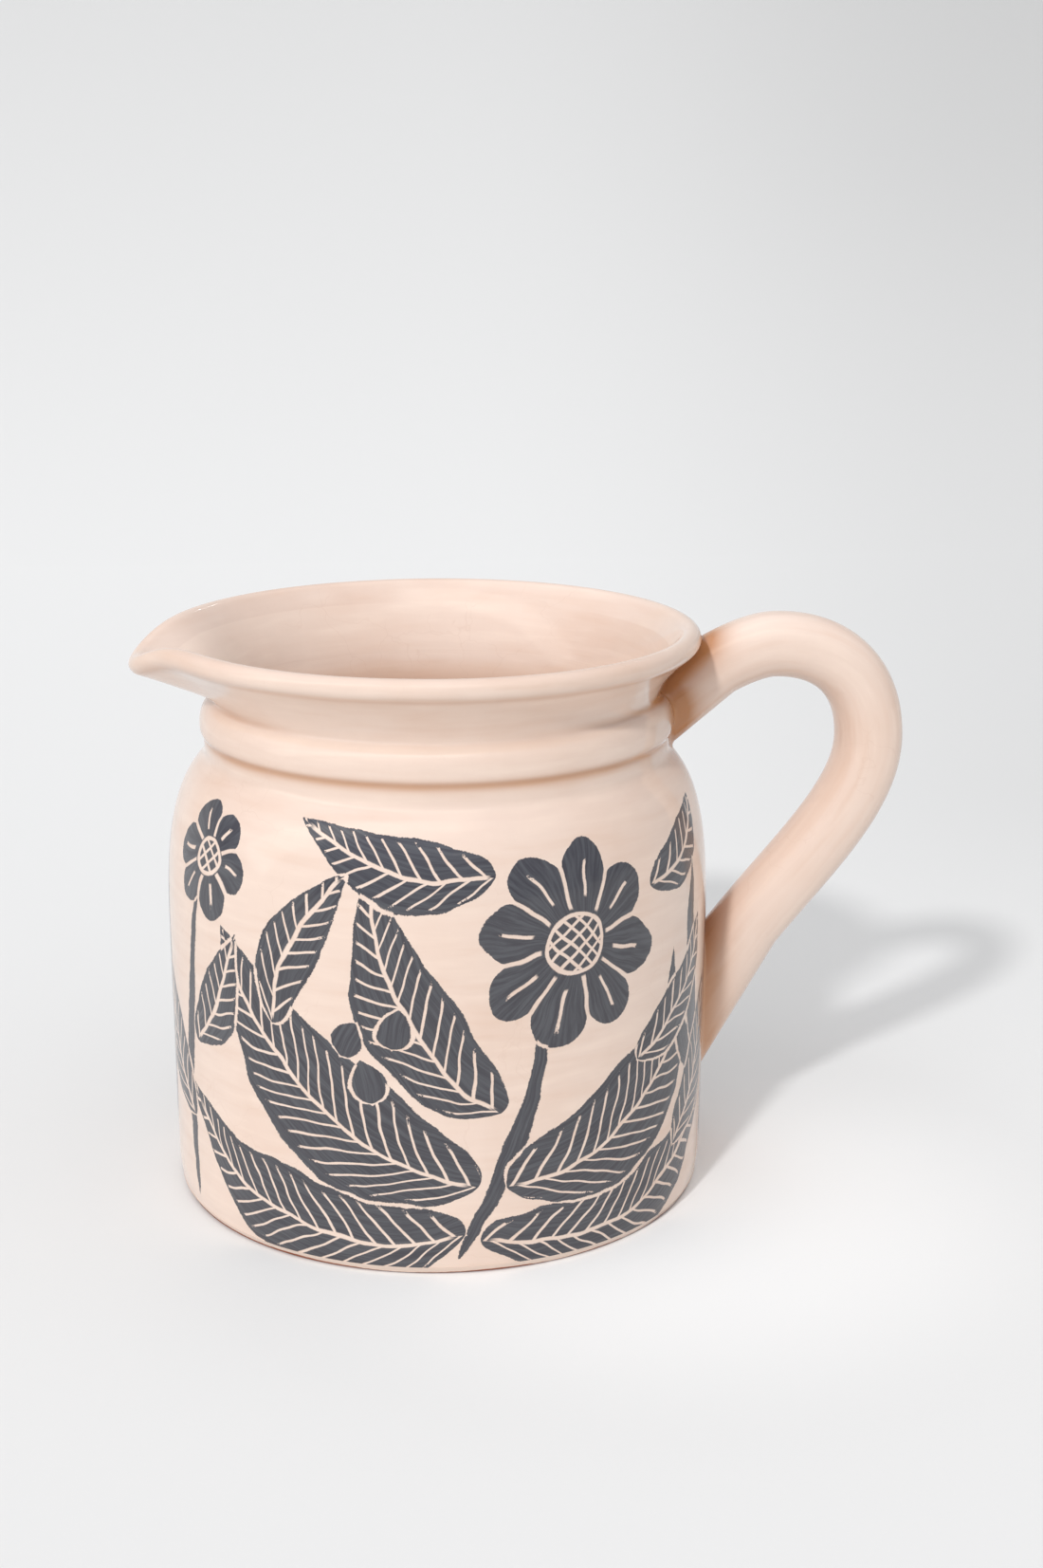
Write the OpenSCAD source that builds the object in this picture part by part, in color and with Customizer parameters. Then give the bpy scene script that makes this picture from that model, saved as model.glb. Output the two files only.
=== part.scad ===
// Thrown and glazed pouring jug with a collar, a pulled spout and a loop handle.
// Millimetres, +Z up. The origin is the centre of the foot, on the table. The handle points along +X,
// the spout along -X, and the jug is the same on both sides of the XZ plane.

/* [Body] */
// Outer radius of the wall where it is fullest
body_r = 75; // [60:1:110]
// Height above the table where the wall ends and the shoulder starts
wall_top_z = 80; // [60:1:140]
// Thickness of the thrown wall
wall_t = 5; // [4:0.5:8]
// How far the wall draws in from its fullest radius down to the foot
wall_taper = 0.5; // [0:0.1:2]
// Thickness of the floor above the turned recess
floor_t = 6.8; // [5:0.2:10]
// Radius of the inside corner between floor and wall
floor_fillet_r = 9; // [5:0.5:14]

/* [Foot] */
// Height of the bare foot ring
foot_h = 2; // [1:0.25:4]
// Width of the face that the jug stands on
foot_w = 10.5; // [6:0.5:16]
// How far the foot's lower edge lies inside the wall
foot_in = 1.8; // [0.5:0.1:3]
// Bevel of the foot ring's outer edge
foot_bevel = 0.9; // [0.3:0.1:1.5]
// Depth of the turned recess inside the foot ring
foot_recess = 1.2; // [0.5:0.1:2]
// Height over which the wall rounds into the foot
foot_round_h = 8; // [4:0.5:12]

/* [Shoulder] */
// Height of the shoulder, from the wall's top to the collar
shoulder_h = 48.7; // [35:1:70]
// How far the shoulder draws in from the wall to the groove under the collar
shoulder_in = 11.1; // [8:0.5:16]
// Height of the straight part of the groove
groove_h = 3.7; // [2:0.1:6]
// Height of the hollow curve from the shoulder up to the straight part
groove_curve_h = 4.3; // [3:0.1:7]
// How far that hollow curve reaches out
groove_curve_out = 2.3; // [1:0.1:4]

/* [Collar] */
// Height of the collar bead
collar_h = 10.3; // [7:0.5:15]
// How far the bead stands out of the groove
collar_out = 1.1; // [0.5:0.1:3]
// How far the neck's foot lies inside the groove
collar_step = 3.1; // [2:0.1:5]

/* [Neck and lip] */
// Thickness of the neck's wall at its foot
neck_t = 4.9; // [4:0.1:7]
// Height from the collar's top to the middle of the lip
neck_h = 15.3; // [11:0.5:22]
// How far the neck flares out, from its foot to the middle of the lip
neck_flare = 8.3; // [5:0.1:12]
// Radius of the lip's rounded section
lip_bead_r = 3; // [2.5:0.1:4]

/* [Spout] */
// How far the spout's lip reaches out past the round mouth
spout_out = 12; // [6:0.5:18]
// How far the spout's lip drops below the round mouth
spout_drop = 5.7; // [2:0.1:8]
// Half of the angle of the mouth that is pulled into the spout
spout_half_a = 80; // [60:1:85]
// Half of the angle over which the spout's tip is rounded
spout_tip_a = 3.5; // [2:0.5:8]

/* [Handle] */
// Thickness of the handle where it leaves the neck
handle_t_top = 17.4; // [14:0.2:20]
// Thickness of the handle where it meets the wall
handle_t_low = 19.8; // [15:0.2:22]
// How much wider than thick the handle is
handle_widen = 0.8; // [0:0.1:3]
// Distance from the lip's outer edge out to the handle's highest place
handle_apex_out = 22.1; // [15:0.5:30]
// Depth of the centre line's highest place below the top of the lip
handle_apex_down = 7.5; // [5:0.5:12]
// Distance from the wall out to the centre line's outermost place
handle_reach = 46.7; // [38:0.5:60]
// Height of that outermost place below the collar
handle_knee_down = 6.2; // [2:0.2:14]
// Height above the table where the handle's tail ends inside the wall
handle_tail_z = 19.4; // [12:0.5:30]
// How deep inside the wall the tail's centre line ends
handle_tail_in = 9.5; // [8.5:0.5:12]
// Depth below the collar where the centre line starts inside the wall
handle_start_down = 2.7; // [1:0.1:4]
// How far the clay is smoothed out where the handle is pressed on
root_flare = 1.2; // [0:0.1:3]

/* [Hidden] */

$fn = 96;
glaze = "#ead3c5";
glaze_warm = "#e6c6ae";
bare_clay = "#a9593d";

// Heights, all from the table up
floor_top_z = foot_recess + floor_t;
collar_z = wall_top_z + shoulder_h;
collar_top_z = collar_z + collar_h;
lip_z = collar_top_z + neck_h;
lip_top_z = lip_z + lip_bead_r;

// Radii
wall_in_r = body_r - wall_t;
floor_r = wall_in_r - floor_fillet_r;
foot_wall_r = body_r - wall_taper;
foot_r = foot_wall_r - foot_in;
foot_in_r = foot_r - foot_w;
foot_top_r = foot_r + foot_bevel;
groove_r = body_r - shoulder_in;
collar_r = groove_r + collar_out;
neck_r = groove_r - collar_step;
neck_in_r = neck_r - neck_t;
lip_r = neck_r + neck_flare;
lip_out_r = lip_r + lip_bead_r;

// Angles of the lip's section where it sits on the neck, and how the bead thins towards the spout
lip_seat_a = -65;
lip_thin_share = 0.1;

// Shares of each curve's run and rise at which its two inner control points lie
foot_curve_share = [0.55, 0.3, 0, 0.45];
shoulder_curve_share = [0, 0.54, 0.67, 0.167];
groove_curve_share = [0.62, 0.4, 0, 0.45];
bead_low_share = [0.8, 0.25, 0, 0.45];
bead_top_share = [0, 0.55, 0.6, 0.2];
bead_fullest_share = 0.27;
inner_shoulder_share = [0, 0.5, 0.1, 0.36];
neck_out_share = [0.14, 0.44, 0.36, 0.22];
neck_in_share = [0, 0.36, 0, 0.3];
spout_out_share = [0.29, 0.16, 0.32, 0.3];
spout_in_share = [0.07, 0.64, 0.37, 0.16];

// How quickly the spout's reach, drop and throat fade out round the mouth
reach_power = 2.2;
drop_power = 6;
throat_power = 1.7;

// Angles at which the centre line leaves the neck and goes down inside the wall
handle_start_a = 57.6;
handle_tail_a = 86.4;
// Shares of the straight distance between anchors that the handle's tangents reach
handle_rise_share = [0.27, 0.242];
handle_bow_share = [0.443, 0.433];
handle_fall_share = [0.258, 0.382];

// Places along the centre line, as shares of one of its three curves, where the roots end and the
// tail starts to tuck in
upper_split_share = 0.61;
lower_split_share = 2.57;
tuck_start_share = 2.88;
tuck_share = 0.7;

// Points along each curve, and round the tube and the mouth
curve_n = 10;
shoulder_n = 14;
tube_sides = 24;
grip_rings = 44;
root_rings = 14;
bead_n = 14;
spout_n = 20;
mouth_n = 50;
// Share of the pulled half that the places near the tip are drawn together by
spout_close_power = 1.6;

// Geometry helpers

function mix(a, b, k) = a + (b - a) * k;

function smooth(k) = let (c = min(1, max(0, k))) c * c * (3 - 2 * c);

function bezier(p, u) =
    let (v = 1 - u)
    p[0] * v * v * v + p[1] * 3 * u * v * v + p[2] * 3 * u * u * v + p[3] * u * u * u;

function bezier_dir(p, u) =
    let (v = 1 - u, d = (p[1] - p[0]) * v * v + (p[2] - p[1]) * 2 * u * v + (p[3] - p[2]) * u * u)
    d / norm(d);

// The four control points from a to b, its inner two set back by shares of the run and the rise
function control(a, b, share) =
    let (d = b - a)
    [a, a + [d[0] * share[0], d[1] * share[1]], b - [d[0] * share[2], d[1] * share[3]], b];

function curve(a, b, share, n) = let (p = control(a, b, share)) [for (i = [0:n]) bezier(p, i / n)];

function arc(c, r, from, to, n) =
    [for (i = [0:n]) let (a = mix(from, to, i / n)) c + r * [cos(a), sin(a)]];

function reversed(list) = [for (i = [len(list) - 1:-1:0]) list[i]];

// Triangles between neighbouring rings of m points each, the last ring joined to the first if closed
function skin(rings, m, closed, flip) =
    [for (i = [0:closed ? rings - 1 : rings - 2], j = [0:m - 1])
        let (a = i * m + j, b = i * m + (j + 1) % m, i2 = (i + 1) % rings,
             c = i2 * m + j, d = i2 * m + (j + 1) % m)
        each flip ? [[a, c, d], [a, d, b]] : [[a, d, c], [a, b, d]]];

// Triangles that close a ring of m points, starting at index s
function fan(s, m, flip) = [for (j = [1:m - 2]) flip ? [s, s + j, s + j + 1] : [s, s + j + 1, s + j]];

function flat(list) = [for (a = list) each a];

// Outlines of the thrown form, as [radius, height]

function foot_curve() = curve([foot_top_r, foot_h], [foot_wall_r, foot_h + foot_round_h],
                              foot_curve_share, curve_n / 2);

function shoulder_outer() =
    let (bend = [groove_r + groove_curve_out, collar_z - groove_h - groove_curve_h],
         groove = [groove_r, collar_z - groove_h])
    concat(curve([body_r, wall_top_z], bend, shoulder_curve_share, shoulder_n),
           curve(bend, groove, groove_curve_share, curve_n / 2),
           [[groove_r, collar_z]]);

function shoulder_inner() = curve([wall_in_r, wall_top_z], [neck_in_r, collar_z - groove_h],
                                  inner_shoulder_share, shoulder_n);

function collar_outer() =
    let (fullest = [collar_r, collar_z + collar_h * bead_fullest_share])
    concat(curve([groove_r, collar_z], fullest, bead_low_share, curve_n / 2),
           curve(fullest, [neck_r, collar_top_z], bead_top_share, curve_n));

// Shape of the mouth at t degrees from the spout's middle

function pull(t, power) =
    let (reach = sqrt(spout_half_a * spout_half_a + spout_tip_a * spout_tip_a) - spout_tip_a,
         x = (sqrt(t * t + spout_tip_a * spout_tip_a) - spout_tip_a) / reach)
    abs(t) >= spout_half_a ? 0 : pow(1 - x, power);

function bead_at(t) = lip_bead_r * (1 - lip_thin_share * pull(t, reach_power));

function lip_at(t) = [lip_r + spout_out * pull(t, reach_power), lip_z - spout_drop * pull(t, drop_power)];

// The lip's section: a round bead outside and above, straight down on the inside to its flat seat
function lip_section(t) =
    let (c = lip_at(t), r = bead_at(t), rim = arc(c, r, 180, lip_seat_a, bead_n))
    concat([[c[0] - r, rim[bead_n][1]]], rim);

function neck_out_curve(t) =
    let (seat = lip_section(t)[bead_n + 1], k = pull(t, throat_power))
    curve([neck_r, collar_top_z], seat, mix(neck_out_share, spout_out_share, k), curve_n);

function neck_in_curve(t) =
    let (seat = lip_section(t)[0], k = pull(t, throat_power))
    curve([neck_in_r, collar_top_z], seat, mix(neck_in_share, spout_in_share, k), curve_n);

function neck_section(t) = concat(neck_out_curve(t), reversed(neck_in_curve(t)));

// Angles from the spout's middle: close together at its tip, then even round the rest of the mouth
function spout_angles() =
    [for (i = [-spout_n:spout_n]) let (u = i / spout_n)
        sign(u) * spout_half_a * pow(abs(u), spout_close_power)];

function mouth_angles() =
    concat(spout_angles(),
           [for (i = [1:mouth_n - 1]) mix(spout_half_a, 360 - spout_half_a, i / mouth_n)]);

// A section turned to t degrees from the spout's middle, which points along -X
function stand(section, t) = [for (p = section) [-p[0] * cos(t), -p[0] * sin(t), p[1]]];

// The handle's centre line, as [x, z], three curves one after another

handle_start = [neck_in_r, collar_z - handle_start_down];
handle_apex = [lip_out_r + handle_apex_out, lip_top_z - handle_apex_down];
handle_knee = [body_r + handle_reach, collar_z - handle_knee_down];
handle_tail = [body_r - handle_tail_in, handle_tail_z];

function tangents(a, a_dir, b, b_dir, share) =
    let (d = norm(b - a)) [a, a + a_dir * d * share[0], b - b_dir * d * share[1], b];

handle_curves = [
    tangents(handle_start, [cos(handle_start_a), sin(handle_start_a)], handle_apex, [1, 0],
             handle_rise_share),
    tangents(handle_apex, [1, 0], handle_knee, [0, -1], handle_bow_share),
    tangents(handle_knee, [0, -1], handle_tail, [-cos(handle_tail_a), -sin(handle_tail_a)],
             handle_fall_share)
];

function handle_piece(q) = min(2, floor(q));

// How far the root is smoothed out at q, and how much of its thickness the tail keeps
function flare(q) =
    let (low = (q - lower_split_share) / (tuck_start_share - lower_split_share))
    root_flare * (1 - smooth(q / upper_split_share) + smooth(low));

function tuck(q) = mix(1, tuck_share, smooth((q - tuck_start_share) / (3 - tuck_start_share)));

function handle_ring(q) =
    let (k = handle_piece(q), p = handle_curves[k], c = bezier(p, q - k), t = bezier_dir(p, q - k),
         side = [-t[1], t[0]], f = flare(q) / 2,
         thick = mix(handle_t_top, handle_t_low, q / 3) / 2 * tuck(q),
         wide = thick + handle_widen / 2 + f)
    [for (j = [0:tube_sides - 1])
        let (a = 360 * j / tube_sides, s = (thick + f) * cos(a) - f)
        [c[0] + side[0] * s, wide * sin(a), c[1] + side[1] * s]];

module handle_tube(from, to, rings) {
    points = flat([for (i = [0:rings - 1]) handle_ring(mix(from, to, i / (rings - 1)))]);
    faces = concat(skin(rings, tube_sides, false, false), fan(0, tube_sides, false),
                   fan((rings - 1) * tube_sides, tube_sides, true));
    polyhedron(points, faces, convexity = 6);
}

// The room inside the jug's outer faces, filled, that the roots are cut to
module lower_envelope() {
    rotate_extrude()
        polygon(concat([[0, 0], [foot_r, 0]], foot_curve(), [[body_r, wall_top_z], [0, wall_top_z]]));
}

module upper_envelope() {
    rotate_extrude()
        polygon(concat([[0, wall_top_z]], shoulder_outer(), collar_outer(), neck_out_curve(180),
                       reversed(arc([lip_r, lip_z], lip_bead_r, lip_seat_a, 90, bead_n)),
                       [[0, lip_top_z]]));
}

// Sub-parts, from the table up

module foot_ring() {
    color(bare_clay)
    rotate_extrude()
        polygon([[foot_in_r, 0], [foot_r, 0], [foot_top_r, foot_h], [foot_in_r, foot_h]]);
}

module base_floor() {
    color(glaze_warm)
    translate([0, 0, foot_recess])
        cylinder(h = floor_t, r = floor_r);
}

module body_wall() {
    corner = arc([floor_r, floor_top_z + floor_fillet_r], floor_fillet_r, 0, -90, curve_n);
    color(glaze)
    rotate_extrude()
        polygon(concat([[floor_r, foot_h]], foot_curve(), [[body_r, wall_top_z], [wall_in_r, wall_top_z]],
                       corner));
}

module shoulder() {
    color(glaze)
    rotate_extrude()
        polygon(concat(shoulder_outer(), [[neck_in_r, collar_z]], reversed(shoulder_inner())));
}

module collar_ring() {
    color(glaze_warm)
    rotate_extrude()
        polygon(concat([[neck_in_r, collar_z]], collar_outer(), [[neck_in_r, collar_top_z]]));
}

module neck() {
    color(glaze)
    rotate([0, 0, spout_half_a - 180])
    rotate_extrude(angle = 360 - 2 * spout_half_a)
        polygon(neck_section(180));
}

module spout() {
    angles = spout_angles();
    m = 2 * curve_n + 2;
    last = (len(angles) - 1) * m;
    ends = [for (j = [0:curve_n - 1])
        let (a = j, b = j + 1, c = m - 2 - j, d = m - 1 - j)
        each [[a, c, b], [a, d, c], [last + a, last + b, last + c], [last + a, last + c, last + d]]];
    color(glaze)
    polyhedron(flat([for (t = angles) stand(neck_section(t), t)]),
               concat(skin(len(angles), m, false, false), ends), convexity = 6);
}

module rim_lip() {
    angles = mouth_angles();
    m = bead_n + 2;
    color(glaze)
    polyhedron(flat([for (t = angles) stand(lip_section(t), t)]), skin(len(angles), m, true, true),
               convexity = 6);
}

module handle_grip() {
    color(glaze)
    handle_tube(upper_split_share, lower_split_share, grip_rings);
}

module upper_handle_root() {
    color(glaze_warm)
    difference() {
        handle_tube(0, upper_split_share, root_rings);
        upper_envelope();
    }
}

module lower_handle_root() {
    color(glaze_warm)
    difference() {
        handle_tube(lower_split_share, 3, root_rings);
        lower_envelope();
    }
}

foot_ring();
base_floor();
body_wall();
shoulder();
collar_ring();
neck();
spout();
rim_lip();
handle_grip();
upper_handle_root();
lower_handle_root();
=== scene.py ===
"""A glazed earthenware jug with a pulled handle and a painted leaf frieze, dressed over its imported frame."""

import logging
import math
from dataclasses import dataclass
from enum import Enum, auto

import bpy
import numpy as np
from mathutils import Matrix, Vector
from numpy.typing import NDArray


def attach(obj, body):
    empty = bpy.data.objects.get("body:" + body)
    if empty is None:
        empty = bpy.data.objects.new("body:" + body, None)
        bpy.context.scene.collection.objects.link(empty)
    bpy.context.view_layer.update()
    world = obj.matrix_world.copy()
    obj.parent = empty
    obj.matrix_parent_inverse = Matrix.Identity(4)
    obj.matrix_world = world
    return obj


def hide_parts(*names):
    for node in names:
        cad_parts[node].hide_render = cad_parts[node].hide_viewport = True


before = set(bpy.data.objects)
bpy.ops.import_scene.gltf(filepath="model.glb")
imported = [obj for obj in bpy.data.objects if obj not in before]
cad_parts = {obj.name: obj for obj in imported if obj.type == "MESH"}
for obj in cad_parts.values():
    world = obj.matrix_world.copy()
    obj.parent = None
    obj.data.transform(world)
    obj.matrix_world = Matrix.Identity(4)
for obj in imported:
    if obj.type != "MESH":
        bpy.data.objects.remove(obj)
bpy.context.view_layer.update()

log = logging.getLogger("jug")

Array = NDArray[np.float64]
Colour = tuple[float, float, float]
Pair = tuple[float, float]
Socket = bpy.types.NodeSocket

MM = 0.001
ROOT_TWO = 1.4142
ORIGIN = (0.0, 0.0, 0.0)
GREY = (0.8, 0.8, 0.8, 1.0)
TURNED_MAP = "Turned"
# The glaze's thickness with painted shade and light: darker in shaded creases and at the handle's roots, paler
# on the collar's bead and inside by the spout.
POOL_AND_SHADE = "pool"
BRUSHED = "brushed"
# Points this near, in parts of a millimetre, are one point.
WELD_PARTS = 5000
# The wall's length round the pot in millimetres, at which the frieze is drawn at its true size.
TURN_LENGTH = 471.24
# How far the brush's slow sway moves a motif, in millimetres.
SWAY = 3.5
# Where the frieze changes finish, in degrees from the spout: each finish paints only the motifs near it.
FRIEZE_EDGES_DEG = (30.0, 60.0, 80.0, 92.0, 120.0, 150.0)
# What every motif's group takes and gives, so that motifs can be laid one over the other.
MOTIF_TAKES = {"Place": ORIGIN, "Rough": 0.0, "Slip": 0.0, "Scratch": 0.0, "Brush": ORIGIN}
MOTIF_GIVES = {"Slip": 0, "Scratch": 0, "Brush": 3}


class Slot(Enum):
    """The material slots that the record gives the jug."""

    PLAIN = "plain_glaze"
    DECORATED = "decorated_glaze"
    BARE = "bare_clay"


class Zone(Enum):
    """The bands of the thrown surface, from the foot up the outside, over the lip and down the inside."""

    WALL_OUT = auto()
    SHOULDER_OUT = auto()
    COLLAR_OUT = auto()
    NECK_OUT = auto()
    LIP = auto()
    NECK_IN = auto()
    COLLAR_IN = auto()
    SHOULDER_IN = auto()
    WALL_IN = auto()
    FLOOR = auto()


# Shapes: curves and grids


def eased(x: Array | float) -> Array:
    """Smooth step: 3x^2 - 2x^3, with x held between 0 and 1."""
    x = np.clip(x, 0.0, 1.0)
    return x * x * (3 - 2 * x)


def bell(distance: Array, width: float) -> Array:
    """Bell curve: exp(-(distance / width)^2)."""
    return np.exp(-((distance / width) ** 2))


def unit(v: Array) -> Array:
    """Vectors along the last axis, brought to length 1."""
    return v / np.maximum(np.linalg.norm(v, axis=-1, keepdims=True), 1e-12)


def cubic(points: Array, t: Array) -> Array:
    """Points on cubic curves: (1-t)^3 a + 3 (1-t)^2 t b + 3 (1-t) t^2 c + t^3 d.

    Args:
        points: control points, shaped (..., 4, n).
        t: parameters, in a shape that spreads over the leading axes.

    Returns:
        The points, one for each parameter, with n values each.
    """
    t = np.asarray(t, float)[..., None]
    a, b, c, d = (points[..., i, :] for i in range(4))
    s = 1 - t
    return s**3 * a + 3 * s**2 * t * b + 3 * s * t**2 * c + t**3 * d


def cubic_slope(points: Array, t: Array) -> Array:
    """Unit directions of cubic curves: (1-t)^2 (b-a) + 2 (1-t) t (c-b) + t^2 (d-c), brought to length 1.

    Args:
        points: control points, shaped (..., 4, n).
        t: parameters, in a shape that spreads over the leading axes.

    Returns:
        The directions, one for each parameter.
    """
    t = np.asarray(t, float)[..., None]
    a, b, c, d = (points[..., i, :] for i in range(4))
    return unit((1 - t) ** 2 * (b - a) + 2 * (1 - t) * t * (c - b) + t**2 * (d - c))


def shaped(a: Array, b: Array, share: Array) -> Array:
    """Control points of curves whose inner two lie at shares of the run and rise.

    Args:
        a: starts as (r, z), shaped (..., 2).
        b: ends as (r, z), shaped (..., 2).
        share: run and rise shares from the start, then from the end, shaped (..., 4).

    Returns:
        Control points, shaped (..., 4, 2).
    """
    a, b, share = np.asarray(a, float), np.asarray(b, float), np.asarray(share, float)
    reach = b - a
    return np.stack(np.broadcast_arrays(a, a + reach * share[..., :2], b - reach * share[..., 2:], b), -2)


def curved(a: Array, b: Array, share: Array, steps: Array) -> Array:
    """One column of rows along the shaped curve from a to b."""
    return cubic(shaped(a, b, share), steps)[:, None]


def straight(a: Array, b: Array, steps: Array) -> Array:
    """One column of rows on the line from a to b: a + (b - a) steps."""
    a, b = np.asarray(a), np.asarray(b)
    return (a + (b - a) * steps[:, None])[:, None]


def joined(*runs: Array) -> Array:
    """Runs of rows end to end: each starts on the row that the one before it ends on."""
    return np.concatenate([runs[0]] + [run[1:] for run in runs[1:]])


def rows_between(a: Array, b: Array, count: int) -> Array:
    """Rows strictly between two rows a and b, in even steps."""
    share = np.linspace(0, 1, count + 2)[1:-1, None, None]
    return a + (b - a) * share


def run_length(points: Array) -> Array:
    """How far along its column each point of a grid lies, from 0 on the first row."""
    step = np.linalg.norm(np.diff(points, axis=0), axis=-1)
    return np.concatenate([np.zeros_like(step[:1]), np.cumsum(step, 0)])


def side_angle(t: Array) -> Array:
    """Angles from the spout's middle, in degrees, brought to between -180 and 180."""
    return (t + 180) % 360 - 180


def spread(count: int, close_start: float = 0.0, close_end: float = 0.0) -> Array:
    """Steps from 0 to 1 that lie closer together at the ends that ask for it.

    The density falls by close_start (1 + cos(pi u)) / 2 and by close_end (1 - cos(pi u)) / 2.

    Args:
        count: how many values.
        close_start: how much closer the first steps are, from 0 to 0.9.
        close_end: how much closer the last steps are, from 0 to 0.9.

    Returns:
        The values, rising from 0 to 1.
    """
    u = np.linspace(0, 1, count)
    wave = np.sin(math.pi * u) / math.pi
    steps = u - close_start * (u + wave) / 2 - close_end * (u - wave) / 2
    return steps / steps[-1]


def grid_normals(points: Array, across: Array) -> Array:
    """Unit normals of a grid that goes right round: the slope across it crossed with the slope down it.

    Args:
        points: (rows, columns, 3), where the last column repeats the first.
        across: the columns' parameter values, rising.

    Returns:
        The normals, shaped as the points are.
    """
    down = np.linalg.norm(np.diff(points, axis=0), axis=-1).mean(1)
    along = np.concatenate([[0], np.cumsum(np.maximum(down, 1e-4))])
    row_slope = np.gradient(points, along, axis=0)
    turn = across[-1] - across[0]
    wide = np.concatenate([points[:, -2:-1], points, points[:, 1:2]], 1)
    steps = np.concatenate([[across[-2] - turn], across, [across[1] + turn]])
    column_slope = np.gradient(wide, steps, axis=1)[:, 1:-1]
    return unit(np.cross(column_slope, row_slope))


def grid_faces(rows: int, columns: int) -> Array:
    """The quads of a grid whose points are numbered row by row, four point numbers each."""
    n = np.arange(rows * columns).reshape(rows, columns)
    return np.stack([n[:-1, :-1], n[:-1, 1:], n[1:, 1:], n[1:, :-1]], -1).reshape(-1, 4)


def placed(name: str, data: bpy.types.ID) -> bpy.types.Object:
    """Makes an object and puts it in the scene.

    Args:
        name: its name.
        data: the mesh, lamp or camera that it shows.

    Returns:
        The object.
    """
    obj = bpy.data.objects.new(name, data)
    bpy.context.scene.collection.objects.link(obj)
    return obj


@dataclass
class Patch:
    """One grid of a piece's surface, whose columns crossed with its rows point out of the clay.

    Attributes:
        points: (rows, columns, 3) in millimetres.
        normals: the same shape, or None where the faces are shaded flat.
        turned: (rows, columns, 2), millimetres round and along the surface.
        pool: (rows, columns), how thick the glaze lies with painted shade and light, from -1 to 1.
        brushed: (rows, columns, 3), places that change slowly the way the glaze was brushed on.
        finish: which of the piece's finishes it has.
    """

    points: Array
    normals: Array | None = None
    turned: Array | None = None
    pool: Array | None = None
    brushed: Array | None = None
    finish: int = 0

    @classmethod
    def flat(cls, *rows: Array, finish: int = 0) -> "Patch":
        """A patch through rows of points, whose faces are shaded flat."""
        return cls(np.stack(rows), finish=finish)


@dataclass
class Piece:
    """One closed piece of the jug, welded from patches, that stands for one node of the frame."""

    node: str
    slot: Slot
    patches: list[Patch]
    finishes: list[bpy.types.Material]

    def _corners(self) -> tuple[Array, ...]:
        """Every patch as quads.

        Returns:
            For each grid point its place, the glaze's thickness with painted shade and light, and its brushed
            place, then for each quad its four point numbers, corner normals, turned places and finish.
        """
        found, start = [], 0
        for p in self.patches:
            q = grid_faces(*p.points.shape[:2])
            flat = p.points.reshape(-1, 3)
            if p.normals is None:
                face = unit(np.cross(flat[q[:, 2]] - flat[q[:, 0]], flat[q[:, 3]] - flat[q[:, 1]]))
                normals = np.repeat(face[:, None], 4, 1)
            else:
                normals = p.normals.reshape(-1, 3)[q]
            pool = np.zeros(len(flat)) if p.pool is None else p.pool.ravel()
            brushed = flat * 0.1 if p.brushed is None else p.brushed.reshape(-1, 3)
            turned = np.zeros((len(flat), 2)) if p.turned is None else p.turned.reshape(-1, 2)
            found.append((flat, pool, brushed, q + start, normals, turned[q], np.full(len(q), p.finish)))
            start += len(flat)
        return tuple(np.concatenate(column) for column in zip(*found))

    def make(self) -> bpy.types.Object:
        """Welds the patches where their points meet, and makes the object with its normals and finishes.

        A quad that welding leaves with one side of no length becomes a triangle, and one with more such
        sides is dropped.

        Returns:
            The object.
        """
        points, pool, brushed, quads, normals, turned, finish = self._corners()
        keys = np.round(points * WELD_PARTS).astype(np.int64)
        _, first, number = np.unique(keys, axis=0, return_index=True, return_inverse=True)
        faces = number.reshape(-1)[quads]
        doubled = faces == np.roll(faces, -1, 1)
        whole, split = (doubled.sum(1) == sides for sides in (0, 1))
        keep = ~doubled[split]
        lists = faces[whole].tolist() + faces[split][keep].reshape(-1, 3).tolist()
        corner_normals, corner_turned = (
            np.concatenate([v[whole].reshape(-1, v.shape[-1]), v[split][keep]]) for v in (normals, turned))
        face_finish = np.concatenate([finish[whole], finish[split]])

        mesh = bpy.data.meshes.new(self.node + "_clay")
        mesh.from_pydata((points[first] * MM).tolist(), [], lists)
        mesh.polygons.foreach_set("material_index", face_finish.astype(np.int32))
        mesh.polygons.foreach_set("use_smooth", np.ones(len(lists), bool))
        mesh.uv_layers.new(name=TURNED_MAP).data.foreach_set("uv", corner_turned.astype(np.float32).ravel())
        thick = mesh.attributes.new(POOL_AND_SHADE, "FLOAT", "POINT")
        thick.data.foreach_set("value", np.clip(pool[first], -1, 1).astype(np.float32))
        grain = mesh.attributes.new(BRUSHED, "FLOAT_VECTOR", "POINT")
        grain.data.foreach_set("vector", brushed[first].astype(np.float32).ravel())
        for finish_used in self.finishes:
            mesh.materials.append(finish_used)
        mesh.update()
        mesh.normals_split_custom_set(unit(corner_normals).tolist())
        obj = placed(self.node + "_glazed", mesh)
        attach(obj, "root")
        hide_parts(self.node)
        log.info("%s: %d points, %d faces", obj.name, len(first), len(lists))
        return obj


# The thrown pot


@dataclass
class Sheet:
    """The pot's whole thrown surface as one grid, with the rows that each zone takes."""

    points: Array
    normals: Array
    turned: Array
    pool: Array
    brushed: Array
    rows: dict[Zone, slice]

    def patch(self, zone: Zone, columns: slice = slice(None), finish: int = 0) -> Patch:
        """One zone's part of the sheet, or some of its columns."""
        where = (self.rows[zone], columns)
        return Patch(self.points[where], self.normals[where], self.turned[where], self.pool[where],
                     self.brushed[where], finish)

    def first(self, zone: Zone) -> Array:
        """The zone's first row of points."""
        return self.points[self.rows[zone].start]

    def last(self, zone: Zone) -> Array:
        """The zone's last row of points."""
        return self.points[self.rows[zone].stop - 1]


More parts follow.
